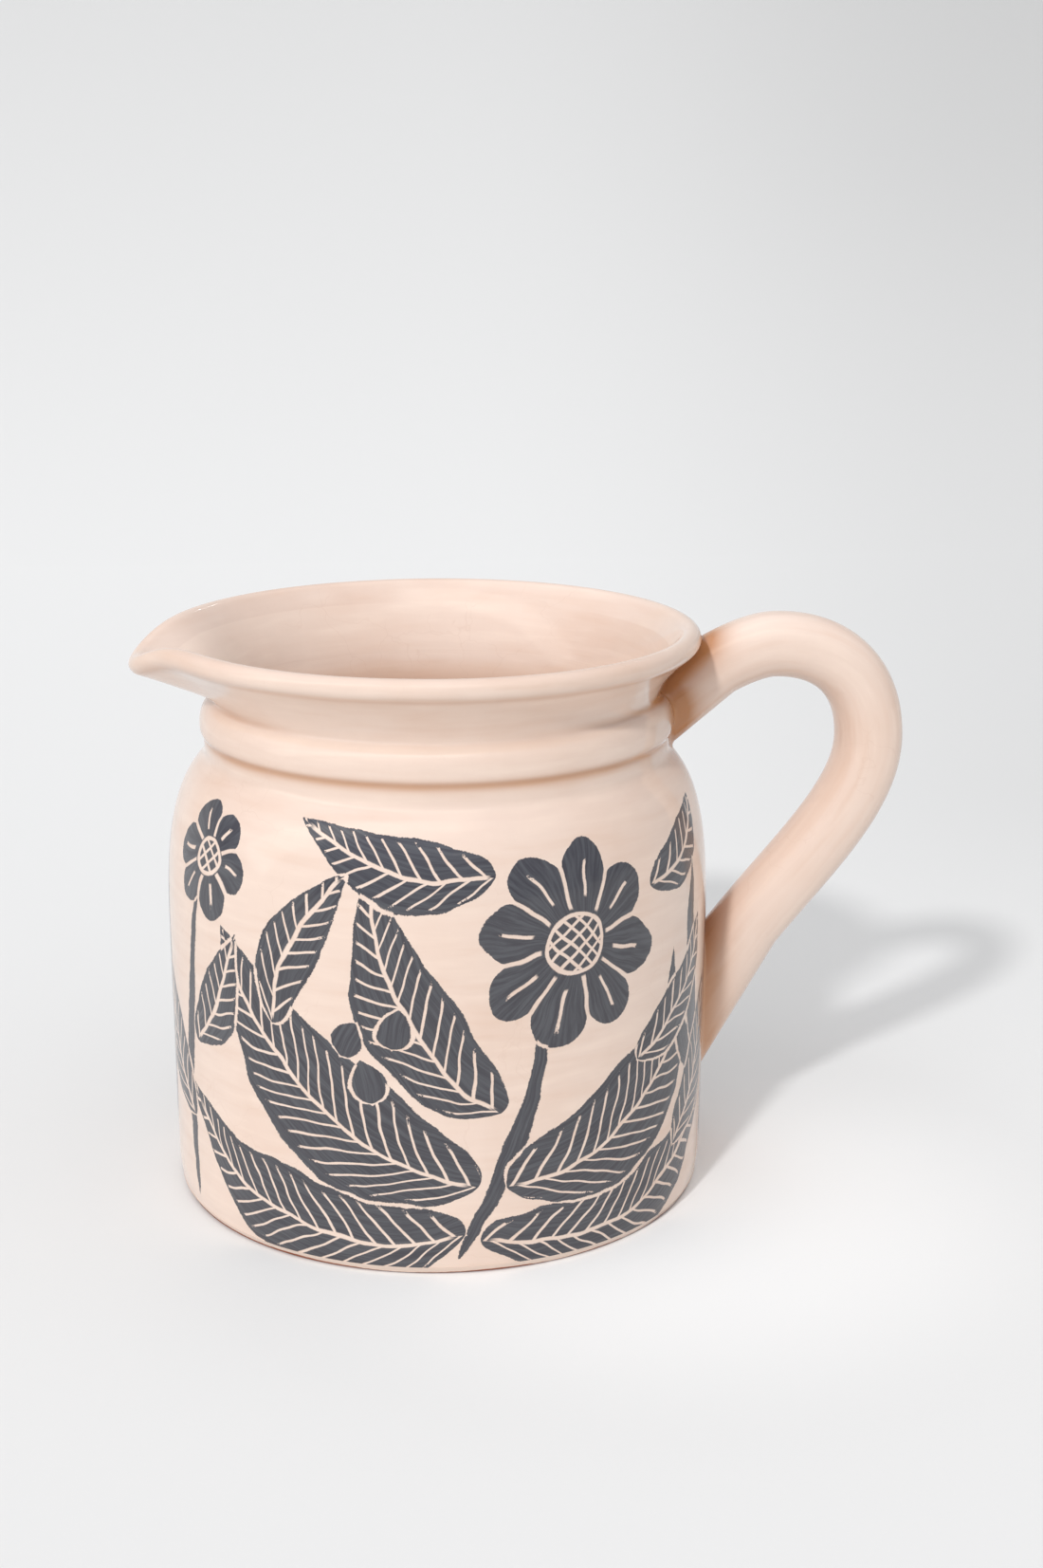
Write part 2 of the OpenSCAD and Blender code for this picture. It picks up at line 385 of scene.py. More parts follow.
@dataclass(frozen=True)
class ThrownPot:
    """The thrown body, shoulder, collar, flared neck, lip and spout, in millimetres.

    The profile runs up the outside, over the lip and down the inside to the middle of the floor. Only the
    neck and the lip change on the way round: the spout pulls them out and down on the side at -X.
    """

    body_r: float = 75.0
    wall_in_r: float = 70.0
    wall_top_z: float = 80.0
    foot_top: Pair = (73.6, 2.0)
    foot_round: Pair = (74.5, 10.0)
    floor_r: float = 61.0
    floor_z: float = 8.0
    floor_under_z: float = 1.2
    corner_r: float = 9.0
    shoulder_bend: Pair = (66.2, 120.7)
    groove: Pair = (63.9, 125.0)
    collar_z: float = 128.7
    collar_full: Pair = (65.0, 131.48)
    neck_foot: Pair = (60.8, 139.0)
    neck_in_r: float = 55.9
    lip_r: float = 69.1
    lip_z: float = 154.3
    bead_r: float = 3.0
    bead_thinning: float = 0.03
    seat_deg: float = -65.0
    over_deg: float = 140.0
    spout_over_deg: float = 112.0
    neck_share: tuple[float, ...] = (0.14, 0.44, 0.36, 0.22)
    spout_share: tuple[float, ...] = (0.29, 0.16, 0.32, 0.3)
    neck_lead: float = 9.0
    spout_lead: float = 11.0
    inner_bend: Pair = (0.3, -1.0)
    spout_bend: Pair = (0.2, 6.0)
    crowding: float = 1.2
    spout_steps: int = 140
    neck_steps: int = 200
    outline_points: int = 1400
    lip_rows: int = 37
    lip_over_row: int = 20
    lip_top_row: int = 22
    spout_half_deg: float = 80.0
    spout_tip_deg: float = 5.0
    spout_out: float = 11.3
    spout_drop: float = 6.2
    flank_power: float = 1.2
    tip_share: float = 0.6
    tip_reach_deg: float = 13.5
    tip_drop_deg: float = 11.4
    inner_neck_z: float = 116.0
    crease_round: float = 0.6
    neck_round: float = 1.1
    seat_round: float = 0.85
    inner_round: float = 2.2
    least_round: float = 0.01
    round_rows: int = 14
    hand_wobble: float = 0.16
    fade_rows: float = 12.0
    handle_shade_gap: float = 0.6
    handle_shade_reach: float = 12.5
    brush_scale: tuple[float, float, float] = (0.04, 0.04, 0.32)

    def columns(self) -> Array:
        """The columns' angles, which lie closer towards the spout's middle.

        Across the spout they are spout_half_deg |u|^crowding with u's sign, for even u from -1 to 1.

        Returns:
            Degrees from the spout's middle: across the spout, then round the rest of the pot.
        """
        u = np.linspace(-1, 1, self.spout_steps + 1)
        spout = self.spout_half_deg * np.sign(u) * np.abs(u) ** self.crowding
        rest = np.linspace(self.spout_half_deg, 360 - self.spout_half_deg, self.neck_steps + 1)
        return np.concatenate([spout, rest[1:]])

    def spout_columns(self) -> slice:
        """The columns across the spout."""
        return slice(0, self.spout_steps + 1)

    def neck_columns(self) -> slice:
        """The columns round the rest of the neck."""
        return slice(self.spout_steps, None)

    def frieze_runs(self) -> list[tuple[slice, int]]:
        """Cuts the columns at the frieze's edges, which lie alike on both sides of the spout.

        Returns:
            Runs of columns, each with the number of its part of the frieze.
        """
        t = self.columns()
        folded = np.abs(side_angle((t[:-1] + t[1:]) / 2))
        part = np.digitize(folded, FRIEZE_EDGES_DEG)
        starts = np.flatnonzero(np.diff(part, prepend=-1))
        stops = np.append(starts[1:], len(part))
        return [(slice(a, b + 1), int(part[a])) for a, b in zip(starts, stops)]

    def reach(self, t: Array) -> Array:
        """How far the spout's pull is felt at each angle: broad on its flanks and narrow at its tip.

        x = (sqrt(a^2 + tip^2) - tip) / (sqrt(half^2 + tip^2) - tip), where a is the angle from the middle.
        The reach is (1 - s) (1 - x)^flank_power + s bell(a, tip_reach_deg), where s is tip_share.

        Args:
            t: angles from the spout's middle, in degrees.

        Returns:
            1 at the spout's middle, 0 past its ends.
        """
        tip, half = self.spout_tip_deg, self.spout_half_deg
        aside = np.abs(side_angle(t))
        x = (np.sqrt(aside**2 + tip**2) - tip) / (math.hypot(half, tip) - tip)
        flank = np.clip(1 - x, 0, 1) ** self.flank_power
        return (1 - self.tip_share) * flank + self.tip_share * bell(aside, self.tip_reach_deg)

    def lip_ring(self, t: Array) -> tuple[Array, Array]:
        """The lip's bead: lip_r + spout_out reach out, lip_z - spout_drop bell(a, tip_drop_deg) up.

        Args:
            t: angles a from the spout's middle, in degrees.

        Returns:
            The bead's middle as (r, z) and its radius, at each angle.
        """
        reach = self.reach(t)
        drop = bell(side_angle(t), self.tip_drop_deg)
        middle = np.stack([self.lip_r + self.spout_out * reach, self.lip_z - self.spout_drop * drop], -1)
        return middle, self.bead_r * (1 - self.bead_thinning * reach)

    def _lip_and_neck(self, t: Array) -> tuple[Array, Array, Array]:
        """The lip's round and the neck's curves below it, which change towards the spout by its reach.

        The round runs from seat_deg to over_deg, and on the spout to spout_over_deg. The inside leaves it the
        way it ends, with a lead of neck_lead, and on the spout of spout_lead. It bends at inner_bend from the
        neck's foot, and on the spout by spout_bend more.

        Args:
            t: angles from the spout's middle, in degrees.

        Returns:
            The lip's rows as (r, z), shaped (lip_rows, columns, 2), then the control points of the neck's
            outside, and of the neck's and the collar's inside, shaped (columns, 4, 2).
        """
        middle, bead = self.lip_ring(t)
        reach = self.reach(t)[:, None]
        seat = math.radians(self.seat_deg)
        over = np.radians(self.over_deg + (self.spout_over_deg - self.over_deg) * reach[:, 0])
        seat_out = middle + bead[:, None] * np.array([math.cos(seat), math.sin(seat)])
        share = np.array(self.neck_share) * (1 - reach) + np.array(self.spout_share) * reach
        turn = seat + (over - seat) * spread(self.lip_rows)[:, None]
        lip = middle + bead[:, None] * np.stack([np.cos(turn), np.sin(turn)], -1)
        lead = self.neck_lead + (self.spout_lead - self.neck_lead) * reach
        bend = np.array([self.neck_in_r, self.neck_foot[1]]) + self.inner_bend
        inner = np.stack([
            lip[-1],
            lip[-1] + lead * np.stack([-np.sin(over), np.cos(over)], -1),
            bend + np.array(self.spout_bend) * reach,
            np.broadcast_to([self.neck_in_r, self.collar_z], lip[-1].shape)], 1)
        return lip, shaped(self.neck_foot, seat_out, share), inner

    def profile(self, t: Array) -> dict[Zone, Array]:
        """Every zone's rows as (r, z), shaped (rows, columns, 2).

        Args:
            t: angles from the spout's middle, in degrees.

        Returns:
            The zones in order. Each starts on the row that the one before it ends on.
        """
        lip, neck_out, inner = self._lip_and_neck(t)

        def inside(low: float, high: float, count: int) -> Array:
            """Rows of the inner curve between two of its parameters."""
            return cubic(inner[None], np.linspace(low, high, count)[:, None])

        body_top = (self.body_r, self.wall_top_z)
        inner_top = (self.wall_in_r, self.wall_top_z)
        inner_neck = (self.neck_in_r, self.inner_neck_z)
        groove_top = (self.groove[0], self.collar_z)
        corner_top = (self.wall_in_r, self.floor_z + self.corner_r)
        floor_edge, floor_middle = (self.floor_r, self.floor_z), (0.0, self.floor_z)
        fall = np.linspace(0, -math.pi / 2, 19)[:, None]
        corner = np.stack([self.floor_r + self.corner_r * np.cos(fall),
                           self.floor_z + self.corner_r * (1 + np.sin(fall))], -1)
        zones = {
            Zone.WALL_OUT: joined(
                curved(self.foot_top, self.foot_round, [0.55, 0.3, 0, 0.45], spread(15)),
                straight(self.foot_round, body_top, spread(41))),
            Zone.SHOULDER_OUT: joined(
                curved(body_top, self.shoulder_bend, [0, 0.54, 0.67, 0.167], spread(37, 0, 0.7)),
                curved(self.shoulder_bend, self.groove, [0.62, 0.4, 0, 0.45], spread(15)),
                straight(self.groove, groove_top, spread(11))),
            Zone.COLLAR_OUT: joined(
                curved(groove_top, self.collar_full, [0.8, 0.25, 0, 0.45], spread(11)),
                curved(self.collar_full, self.neck_foot, [0, 0.55, 0.6, 0.2], spread(21, 0, 0.6))),
            Zone.NECK_OUT: cubic(neck_out[None], spread(31, 0.6, 0.6)[:, None]),
            Zone.LIP: joined(lip, inside(0, 0.2, 7)),
            Zone.NECK_IN: inside(0.2, 0.68, 31),
            Zone.COLLAR_IN: inside(0.68, 1, 11),
            Zone.SHOULDER_IN: joined(
                straight((self.neck_in_r, self.collar_z), inner_neck, spread(5)),
                curved(inner_top, inner_neck, [0, 0.5, 0.1, 0.36], 1 - spread(33))),
            Zone.WALL_IN: joined(straight(inner_top, corner_top, spread(31)), corner),
            Zone.FLOOR: straight(floor_edge, floor_middle, 1 - (1 - spread(21)) ** 1.3),
        }
        return {zone: np.broadcast_to(rz, (len(rz), len(t), 2)) for zone, rz in zones.items()}

    def outline(self, t: float) -> Array:
        """The outside profile at one angle, from the foot to the lip's inner edge.

        Args:
            t: the angle from the spout's middle, in degrees.

        Returns:
            Evenly spaced points (n, 2) as (r, z).
        """
        zones = self.profile(np.array([t]))
        line = np.concatenate([zones[z][:, 0] for z in list(Zone)[:5]])
        line = line[np.concatenate([[True], np.linalg.norm(np.diff(line, axis=0), axis=1) > 1e-6])]
        along = run_length(line)
        even = np.linspace(0, along[-1], self.outline_points)
        return np.stack([np.interp(even, along, line[:, i]) for i in (0, 1)], -1)

    def _rounded(self, rz: Array, creases: list[tuple[int, float]]) -> Array:
        """The profile with its creases rounded, as glaze does: each row becomes a bell-weighted mean.

        The bell is w wide on a crease and fades to nothing 4 w away, along the profile.

        Args:
            rz: (rows, columns, 2) as (r, z).
            creases: the rows that are creases, each with its w.

        Returns:
            The rounded rows.
        """
        along = run_length(rz)
        near = [w * (1 - eased((np.abs(along - along[crease]) / w - 1) / 3)) for crease, w in creases]
        width = self.least_round + np.max(near, 0)
        weight = np.gradient(along, axis=0)
        total, mean = np.zeros_like(along), np.zeros_like(rz)
        rows = np.arange(len(rz))
        for shift in range(-self.round_rows, self.round_rows + 1):
            other = np.clip(rows + shift, 0, len(rz) - 1)
            share = weight[other] * bell((along[other] - along) / ROOT_TWO, width) + 1e-12 * (shift == 0)
            total += share
            mean += share[..., None] * rz[other]
        untouched = (width < 2 * self.least_round)[..., None]
        return np.where(untouched, rz, mean / total[..., None])

    def _glaze_thickness_and_shade(self, t: Array, z: Array, along: Array, rows: dict[Zone, slice]) -> Array:
        """Glaze thickness and painted shade: thick in creases, thinner on the collar's bead, changing down the
        inside.

        Each crease adds amount bell(distance along the profile, width). At the neck's foot the amount is more
        beside the spout and under the handle. The inside is thinner near the spout's lip and thick deep down.
        The darker creases, most of all under the handle, are partly painted shade; the paler band on the
        collar's bead is partly a painted highlight; inside, the paler wall by the spout is painted light and
        the darker depth is partly painted shade.

        Args:
            t: the columns' angles from the spout's middle, in degrees.
            z: heights (rows, columns).
            along: lengths along the profile (rows, columns).
            rows: the rows of each zone.

        Returns:
            The thickness with painted shade and light: above 0 where it pools, below 0 where it thins.
        """
        groove, neck_foot, seat = (rows[zone].start for zone in (Zone.COLLAR_OUT, Zone.NECK_OUT, Zone.LIP))
        side = np.abs(side_angle(t))
        # Under the handle the crease is darker: painted shade where the handle shades it.
        neck_foot_thickness_and_shade = 0.12 + 0.5 * bell(side - 24, 24.0) + 1.0 * bell(side - 180, 40.0)
        # Darker creases are partly painted shade; the bead's paler band, amount below 0, is partly a painted
        # highlight.
        # Row, amount and width in millimetres.
        creases = (
            (groove, 0.7, 1.5),
            ((groove + 2 * neck_foot) // 3, -0.45, 2.6),
            (neck_foot, neck_foot_thickness_and_shade, 1.5),
            (seat, 0.3, 1.4),
            (rows[Zone.WALL_IN].stop - 10, 0.3, 9.0),
            (seat + self.lip_top_row, 0.1, 2.6),
        )
        pool = sum(amount * bell(along - along[row], width) for row, amount, width in creases)
        inner_rows = (np.arange(len(z)) > rows[Zone.NECK_IN].start)[:, None]
        by_spout = (1 + np.cos(np.radians(t))[None]) / 2
        # Inside: paler by the spout is painted light on the shaded wall; darker deep down is partly painted
        # shade.
        down = 0.5 * eased((139 - z) / 16) + (0.15 - 0.7 * by_spout) * eased((z - 132) / 12)
        return pool + inner_rows * down

    def sheet(self, handle_line: Array, handle_r: float) -> Sheet:
        """The whole surface as one grid, with a maker's slight unevenness and the glaze's thickness and
        painted shade.

        Unevenness moves the outside in by hand_wobble (1 + w) / 2, where w is a sum of slow waves round and
        up the pot. Round the handle's roots the glaze is darker by a bell of the distance from them: partly
        thicker glaze, partly painted shade where the handle shades the pot.

        Args:
            handle_line: points (n, 3) along the handle's middle.
            handle_r: the handle's half thickness.

        Returns:
            The sheet.
        """
        t = self.columns()
        parts, rows, start = [], {}, 0
        for zone, rz in self.profile(t).items():
            rows[zone] = slice(start, start + len(rz))
            start = rows[zone].stop - 1
            parts.append(rz)
        seat = rows[Zone.LIP].start
        rz = self._rounded(joined(*parts), [
            (rows[Zone.COLLAR_OUT].start, self.crease_round), (rows[Zone.NECK_OUT].start, self.neck_round),
            (seat, self.seat_round), (rows[Zone.COLLAR_IN].stop + 3, self.inner_round)])
        along = run_length(rz)

        a = np.radians(t)[None]
        z = rz[..., 1]
        wave = (0.45 * np.sin(2 * a + 0.6 + z * 0.021) + 0.3 * np.sin(3 * a - 1.1 - z * 0.034)
                + 0.25 * np.sin(z * 0.16 + 1.3 * np.sin(a + 0.4)))
        outside = eased((seat + self.lip_over_row - np.arange(len(rz))) / self.fade_rows)[:, None]
        r = rz[..., 0] - self.hand_wobble * (1 + wave) / 2 * outside
        points = np.stack([-r * np.cos(a), -r * np.sin(a), z], -1)
        points[:, -1] = points[:, 0]
        normals = grid_normals(points, t)
        # The last row is the floor's middle, one point.
        normals[-1] = (0, 0, 1)

        # Darker round the handle's roots: partly thicker glaze, partly painted shade where the handle shades
        # the pot.
        to_handle = np.full(points.shape[:2], np.inf)
        for p in handle_line:
            to_handle = np.minimum(to_handle, np.linalg.norm(points - p, axis=-1))
        handle_glaze_and_shade = bell(np.maximum(to_handle - handle_r - self.handle_shade_gap, 0), self.handle_shade_reach)
        handle_glaze_and_shade[seat + self.lip_over_row:] = 0
        round_way = (t[None] + 180) / 360 * TURN_LENGTH
        turned = np.stack(np.broadcast_arrays(round_way, along + self.foot_top[1]), -1)
        pool = self._glaze_thickness_and_shade(t, z, along, rows) + handle_glaze_and_shade
        return Sheet(points, normals, turned, pool, points * np.array(self.brush_scale), rows)

    def pieces(self, sheet: Sheet, plain: bpy.types.Material, frieze: list[bpy.types.Material],
               bare: bpy.types.Material) -> list[Piece]:
        """The pot's pieces, each closed where it meets the next.

        Args:
            sheet: the thrown surface.
            plain: the finish of undecorated glaze.
            frieze: the finishes of the decorated outside, from the spout round to the handle.
            bare: the finish of the unglazed underside.

        Returns:
            The pieces from the floor up to the lip.
        """
        def ring(r: float, z: float) -> Array:
            """A level ring under the wall's foot, point for point."""
            round_way = unit(sheet.first(Zone.WALL_OUT) * np.array([1.0, 1.0, 0.0]))
            return round_way * r + np.array([0, 0, z])

        def sector(columns: slice) -> list[Patch]:
            """The neck's wall over some columns, closed above, below and at both sides.

            Args:
                columns: the columns.

            Returns:
                Its outside, its inside and four hidden faces.
            """
            outer, inner = sheet.patch(Zone.NECK_OUT, columns), sheet.patch(Zone.NECK_IN, columns)
            facing = inner.points[::-1]
            return [outer, inner,
                    Patch.flat(outer.points[-1], inner.points[0]),
                    Patch.flat(inner.points[-1], outer.points[0]),
                    Patch(np.stack([facing[:, 0], outer.points[:, 0]], 1)),
                    Patch(np.stack([outer.points[:, -1], facing[:, -1]], 1))]

        def decorated(zone: Zone) -> list[Patch]:
            """One zone in runs of columns, each with its part of the frieze."""
            return [sheet.patch(zone, columns, part) for columns, part in self.frieze_runs()]

        def seam(start: Zone, end: Zone) -> Patch:
            """The hidden faces from the last row of one zone to the first row of another."""
            return Patch.flat(sheet.last(start), sheet.first(end))

        inside, below = len(frieze), len(frieze) + 1
        floor = sheet.patch(Zone.FLOOR)
        under = [ring(r, self.floor_under_z) for r in np.linspace(0, self.floor_r, 25)]
        wall_foot = Patch.flat(sheet.last(Zone.WALL_IN), ring(self.floor_r, self.foot_top[1]),
                               sheet.first(Zone.WALL_OUT), finish=below)
        return [
            Piece("base_floor", Slot.PLAIN,
                  [floor, Patch.flat(*under, floor.points[0], finish=1)], [plain, bare]),
            Piece("body_wall", Slot.DECORATED,
                  [*decorated(Zone.WALL_OUT), seam(Zone.WALL_OUT, Zone.WALL_IN),
                   sheet.patch(Zone.WALL_IN, finish=inside), wall_foot],
                  [*frieze, plain, bare]),
            Piece("shoulder", Slot.DECORATED,
                  [*decorated(Zone.SHOULDER_OUT), seam(Zone.SHOULDER_OUT, Zone.SHOULDER_IN),
                   sheet.patch(Zone.SHOULDER_IN, finish=inside), seam(Zone.SHOULDER_IN, Zone.SHOULDER_OUT)],
                  [*frieze, plain]),
            Piece("collar_ring", Slot.PLAIN,
                  [sheet.patch(Zone.COLLAR_OUT), seam(Zone.COLLAR_OUT, Zone.COLLAR_IN),
                   sheet.patch(Zone.COLLAR_IN), seam(Zone.COLLAR_IN, Zone.COLLAR_OUT)],
                  [plain]),
            Piece("neck", Slot.PLAIN, sector(self.neck_columns()), [plain]),
            Piece("spout", Slot.PLAIN, sector(self.spout_columns()), [plain]),
            Piece("rim_lip", Slot.PLAIN, [sheet.patch(Zone.LIP), seam(Zone.LIP, Zone.LIP)], [plain]),
        ]


@dataclass(frozen=True)
class FootRing:
    """The turned ring that the jug stands on: a flat face with its two edges eased, in millimetres."""

    out_r: float = 72.7
    top_r: float = 73.6
    in_r: float = 62.2
    height: float = 2.0
    edge: float = 0.5
    edge_points: int = 6
    columns: int = 289

    def piece(self, bare: bpy.types.Material) -> Piece:
        """A closed ring: its section turned round the axis, with a quarter round of edge at each corner.

        Args:
            bare: the finish of the bare clay.

        Returns:
            The ring's piece.
        """
        turn = np.linspace(0, math.pi / 2, self.edge_points)
        e = self.edge
        outer = np.stack([self.out_r - e + e * np.sin(turn), e - e * np.cos(turn)], -1)
        inner = np.stack([self.in_r + e - e * np.cos(turn), e - e * np.sin(turn)], -1)
        rz = np.concatenate([outer, [[self.top_r, self.height], [self.in_r, self.height]], inner, outer[:1]])
        a = np.radians(np.linspace(0, 360, self.columns))[None]
        r, z = rz[:, :1], rz[:, 1:] + 0 * a
        return Piece("foot_ring", Slot.BARE, [Patch(np.stack([r * np.cos(a), r * np.sin(a), z], -1))], [bare])


@dataclass(frozen=True)
class PulledHandle:
    """The pulled handle: one tapering roll of clay, smoothed onto the pot at both ends, in millimetres."""

    start: Pair = (55.9, 126.0)
    apex: Pair = (94.2, 149.8)
    knee: Pair = (121.7, 122.5)
    tail: Pair = (65.5, 19.4)
    start_deg: float = 57.6
    tail_deg: float = 86.4
    rise_share: Pair = (0.27, 0.242)
    bow_share: Pair = (0.443, 0.433)
    fall_share: Pair = (0.258, 0.382)
    thick_top: float = 17.4
    thick_low: float = 19.8
    widen: float = 0.8
    root_flare: float = 1.2
    upper_split: float = 0.61
    lower_split: float = 2.57
    tuck_start: float = 2.88
    tuck_share: float = 0.7
    upper_fillet: float = 1.6
    lower_fillet: float = 1.2
    # How much darker the upper and lower roots are: thicker glaze, and painted shade, the lip's shadow on the
    # upper root.
    root_shade_and_glaze: Pair = (1.5, 0.8)
    root_shade_reach: float = 6.6
    squareness: float = 0.93
    ridges: int = 5
    ridge_share: float = 0.006
    sunk_depth: float = 0.3
    girth: float = 60.0
    brush_slow: float = 0.03
    brush_turn: float = 3.5
    sides: int = 96
    line_span: Pair = (0.2, 2.98)
    line_points: int = 160
    fine_rows: int = 500
    grip_rows: int = 150
    join_rows: int = 10
    fillet_rows: int = 13

    def curves(self) -> Array:
        """The middle line's three curves, which leave and reach their ends by shares of the ends' distance d.

        The control points are a, a + s0 d along a's way, b - s1 d along b's way, and b.

        Returns:
            Control points of the rise, the bow and the fall, shaped (3, 4, 2) as (x, z).
        """
        s, e = math.radians(self.start_deg), math.radians(self.tail_deg)
        ends = np.array([self.start, self.apex, self.knee, self.tail])
        ways = np.array([(math.cos(s), math.sin(s)), (1, 0), (0, -1), (-math.cos(e), -math.sin(e))])
        share = np.array([self.rise_share, self.bow_share, self.fall_share])
        a, b = ends[:-1], ends[1:]
        far = np.linalg.norm(b - a, axis=1, keepdims=True)
        return np.stack([a, a + ways[:-1] * far * share[:, :1], b - ways[1:] * far * share[:, 1:], b], 1)

    def middle(self, q: Array) -> tuple[Array, Array]:
        """The handle's middle line.

        Args:
            q: places along it, from 0 to 3: one for each curve.

        Returns:
            Points and unit directions, as (x, z).
        """
        k = np.minimum(q.astype(int), 2)
        control = self.curves()[k]
        return cubic(control, q - k), cubic_slope(control, q - k)

    def line(self) -> Array:
        """Points (n, 3) along the middle line, from one root to the other."""
        middle, _ = self.middle(np.linspace(*self.line_span, self.line_points))
        return np.stack([middle[:, 0], 0 * middle[:, 0], middle[:, 1]], -1)

    def flare(self, q: Array) -> Array:
        """How far the underside swells towards each root."""
        low = (q - self.lower_split) / (self.tuck_start - self.lower_split)
        return self.root_flare * (1 - eased(q / self.upper_split) + eased(low))

    def rings(self, q: Array) -> tuple[Array, Array]:
        """Rings of the roll: the middle plus (h + f) c - f across the loop and w s sideways.

        h is half the thickness, f half the flare, w the half width, and c and s are the cosine and sine of
        the way round, each raised to squareness. Shallow finger ridges run along the roll.

        Args:
            q: (rows,) places along the middle line, from 0 to 3.

        Returns:
            Points and outward directions, shaped (rows, sides + 1, 3).
        """
        c, way = self.middle(q)
        f = self.flare(q)[:, None] / 2
        tuck = 1 + (self.tuck_share - 1) * eased((q - self.tuck_start) / (3 - self.tuck_start))
        half = ((self.thick_top + (self.thick_low - self.thick_top) * q / 3) / 2 * tuck)[:, None]
        a = -np.radians(np.linspace(0, 360, self.sides + 1))[None]
        cos, sin = (np.sign(v) * np.abs(v) ** self.squareness for v in (np.cos(a), np.sin(a)))
        ridge = 1 - self.ridge_share * (1 + np.sin(self.ridges * a + 0.5 + 0.8 * q[:, None]))
        across = (half + f) * cos * ridge - f
        sideways = (half + self.widen / 2 + f) * sin * ridge
        normal = np.stack([-way[:, 1], way[:, 0]], -1)
        x = c[:, :1] + normal[:, :1] * across
        z = c[:, 1:] + normal[:, 1:] * across
        points = np.stack([x, sideways, z], -1)
        points[:, -1] = points[:, 0]
        outward = np.stack([normal[:, :1] * cos, sin + 0 * across, normal[:, 1:] * cos], -1)
        return points, unit(outward)

    def _off_body(self, points: Array, line: Array) -> tuple[Array, Array]:
        """Distance from the pot's outside and the direction away from it.

        Args:
            points: (n, 3).
            line: the pot's outside profile as (r, z), in fine steps, on the handle's side.

        Returns:
            Distances, above 0 outside the pot, and unit directions.
        """
        slope = unit(np.gradient(line, axis=0))
        out = np.stack([slope[:, 1], -slope[:, 0]], -1)
        rho = np.hypot(points[:, 0], points[:, 1])
        flat = np.stack([rho, points[:, 2]], -1)
        # In parts, because all distances at once would fill the memory.
        nearest = np.concatenate([
            np.argmin(((part[:, None] - line[None]) ** 2).sum(-1), 1) for part in np.array_split(flat, 24)])
        away = out[nearest]
        distance = ((flat - line[nearest]) * away).sum(-1)
        way = np.stack([away[:, 0] * points[:, 0] / rho, away[:, 0] * points[:, 1] / rho, away[:, 1]], -1)
        return distance, way

    def _root(self, q: Array, line: Array, fillet: float) -> tuple[Array, Array]:
        """The rows where the roll is smoothed onto the pot.

        Along each side of the roll, the points are found where its distance from the pot falls to
        fillet (1 - m)^2, and each is moved out along the pot by fillet m^2, with m from 0 to 1. One more row
        lies sunk in the pot.

        Args:
            q: fine places from the grip towards the pot.
            line: the pot's outside profile as (r, z).
            fillet: how far the smoothing reaches.

        Returns:
            The rows from the grip to the pot, and the sunk row.
        """
        points, outward = self.rings(q)
        rows, columns = points.shape[:2]
        distance, way = self._off_body(points.reshape(-1, 3), line)
        distance, way = distance.reshape(rows, columns), way.reshape(rows, columns, 3)
        column = np.arange(columns)
        found = []
        for m in spread(self.fillet_rows):
            level = fillet * (1 - m) ** 2
            at = np.maximum(np.argmax(distance < level, 0), 1)
            before, after = (at - 1, column), (at, column)
            fall = np.maximum(distance[before] - distance[after], 1e-9)
            share = np.clip((distance[before] - level) / fall, 0, 1)[:, None]
            p, n, g = (v[before] * (1 - share) + v[after] * share for v in (points, outward, way))
            g = unit(g)
            found.append(p + unit(n - (n * g).sum(-1, keepdims=True) * g) * fillet * m * m)
        sunk = found[-1] - g * self.sunk_depth
        rows_found = np.stack(found)
        rows_found[:, -1] = rows_found[:, 0]
        sunk[-1] = sunk[0]
        return rows_found, sunk

    def pieces(self, outside: Array, plain: bpy.types.Material) -> list[Piece]:
        """The upper root, the grip and the lower root, cut from one smooth grid.

        Args:
            outside: the pot's outside profile as (r, z), in fine steps, on the handle's side.
            plain: the finish of undecorated glaze.

        Returns:
            The three pieces, each closed with a cap at its hidden ends.
        """
        up, down = (np.linspace(split, end, self.fine_rows)
                    for split, end in ((self.upper_split, 0.0), (self.lower_split, 3.0)))
        top, top_sunk = self._root(up, outside, self.upper_fillet)
        low, low_sunk = self._root(down, outside, self.lower_fillet)
        grip, _ = self.rings(np.linspace(self.upper_split, self.lower_split, self.grip_rows))
        near_top = rows_between(top[0], grip[0], self.join_rows)
        near_low = rows_between(grip[-1], low[0], self.join_rows)
        points = np.concatenate([top[::-1], near_top, grip, near_low, low])
        normals = grid_normals(points, np.arange(points.shape[1], dtype=float))
        off, _ = self._off_body(points.reshape(-1, 3), outside)
        # Darker near the pot: partly thicker glaze at the joins, partly painted shade, the lip's shadow on the
        # upper root and the shade at the lower.
        root_shade_share = np.linspace(*self.root_shade_and_glaze, len(points))[:, None]
        pool = root_shade_share * bell(np.maximum(off, 0).reshape(points.shape[:2]), self.root_shade_reach)
        along = run_length(points[:, 0])[:, None]
        turned = np.stack(np.broadcast_arrays(np.linspace(0, self.girth, points.shape[1]), along), -1)
        turn = np.linspace(0, 2 * math.pi, points.shape[1])
        brushed = np.stack(np.broadcast_arrays(
            along * self.brush_slow, self.brush_turn * np.cos(turn), self.brush_turn * np.sin(turn)), -1)
        first = len(top) + len(near_top)
        last = first + len(grip) - 1

        def cut(name: str, rows: slice, caps: list[Patch]) -> Piece:
            """One piece of the roll with its caps."""
            body = Patch(points[rows], normals[rows], turned[rows], pool[rows], brushed[rows])
            return Piece(name, Slot.PLAIN, [body] + caps, [plain])

        def centre(ring: Array) -> Array:
            """The middle of a ring, once for each of its points."""
            return np.broadcast_to(ring[:-1].mean(0), ring.shape)

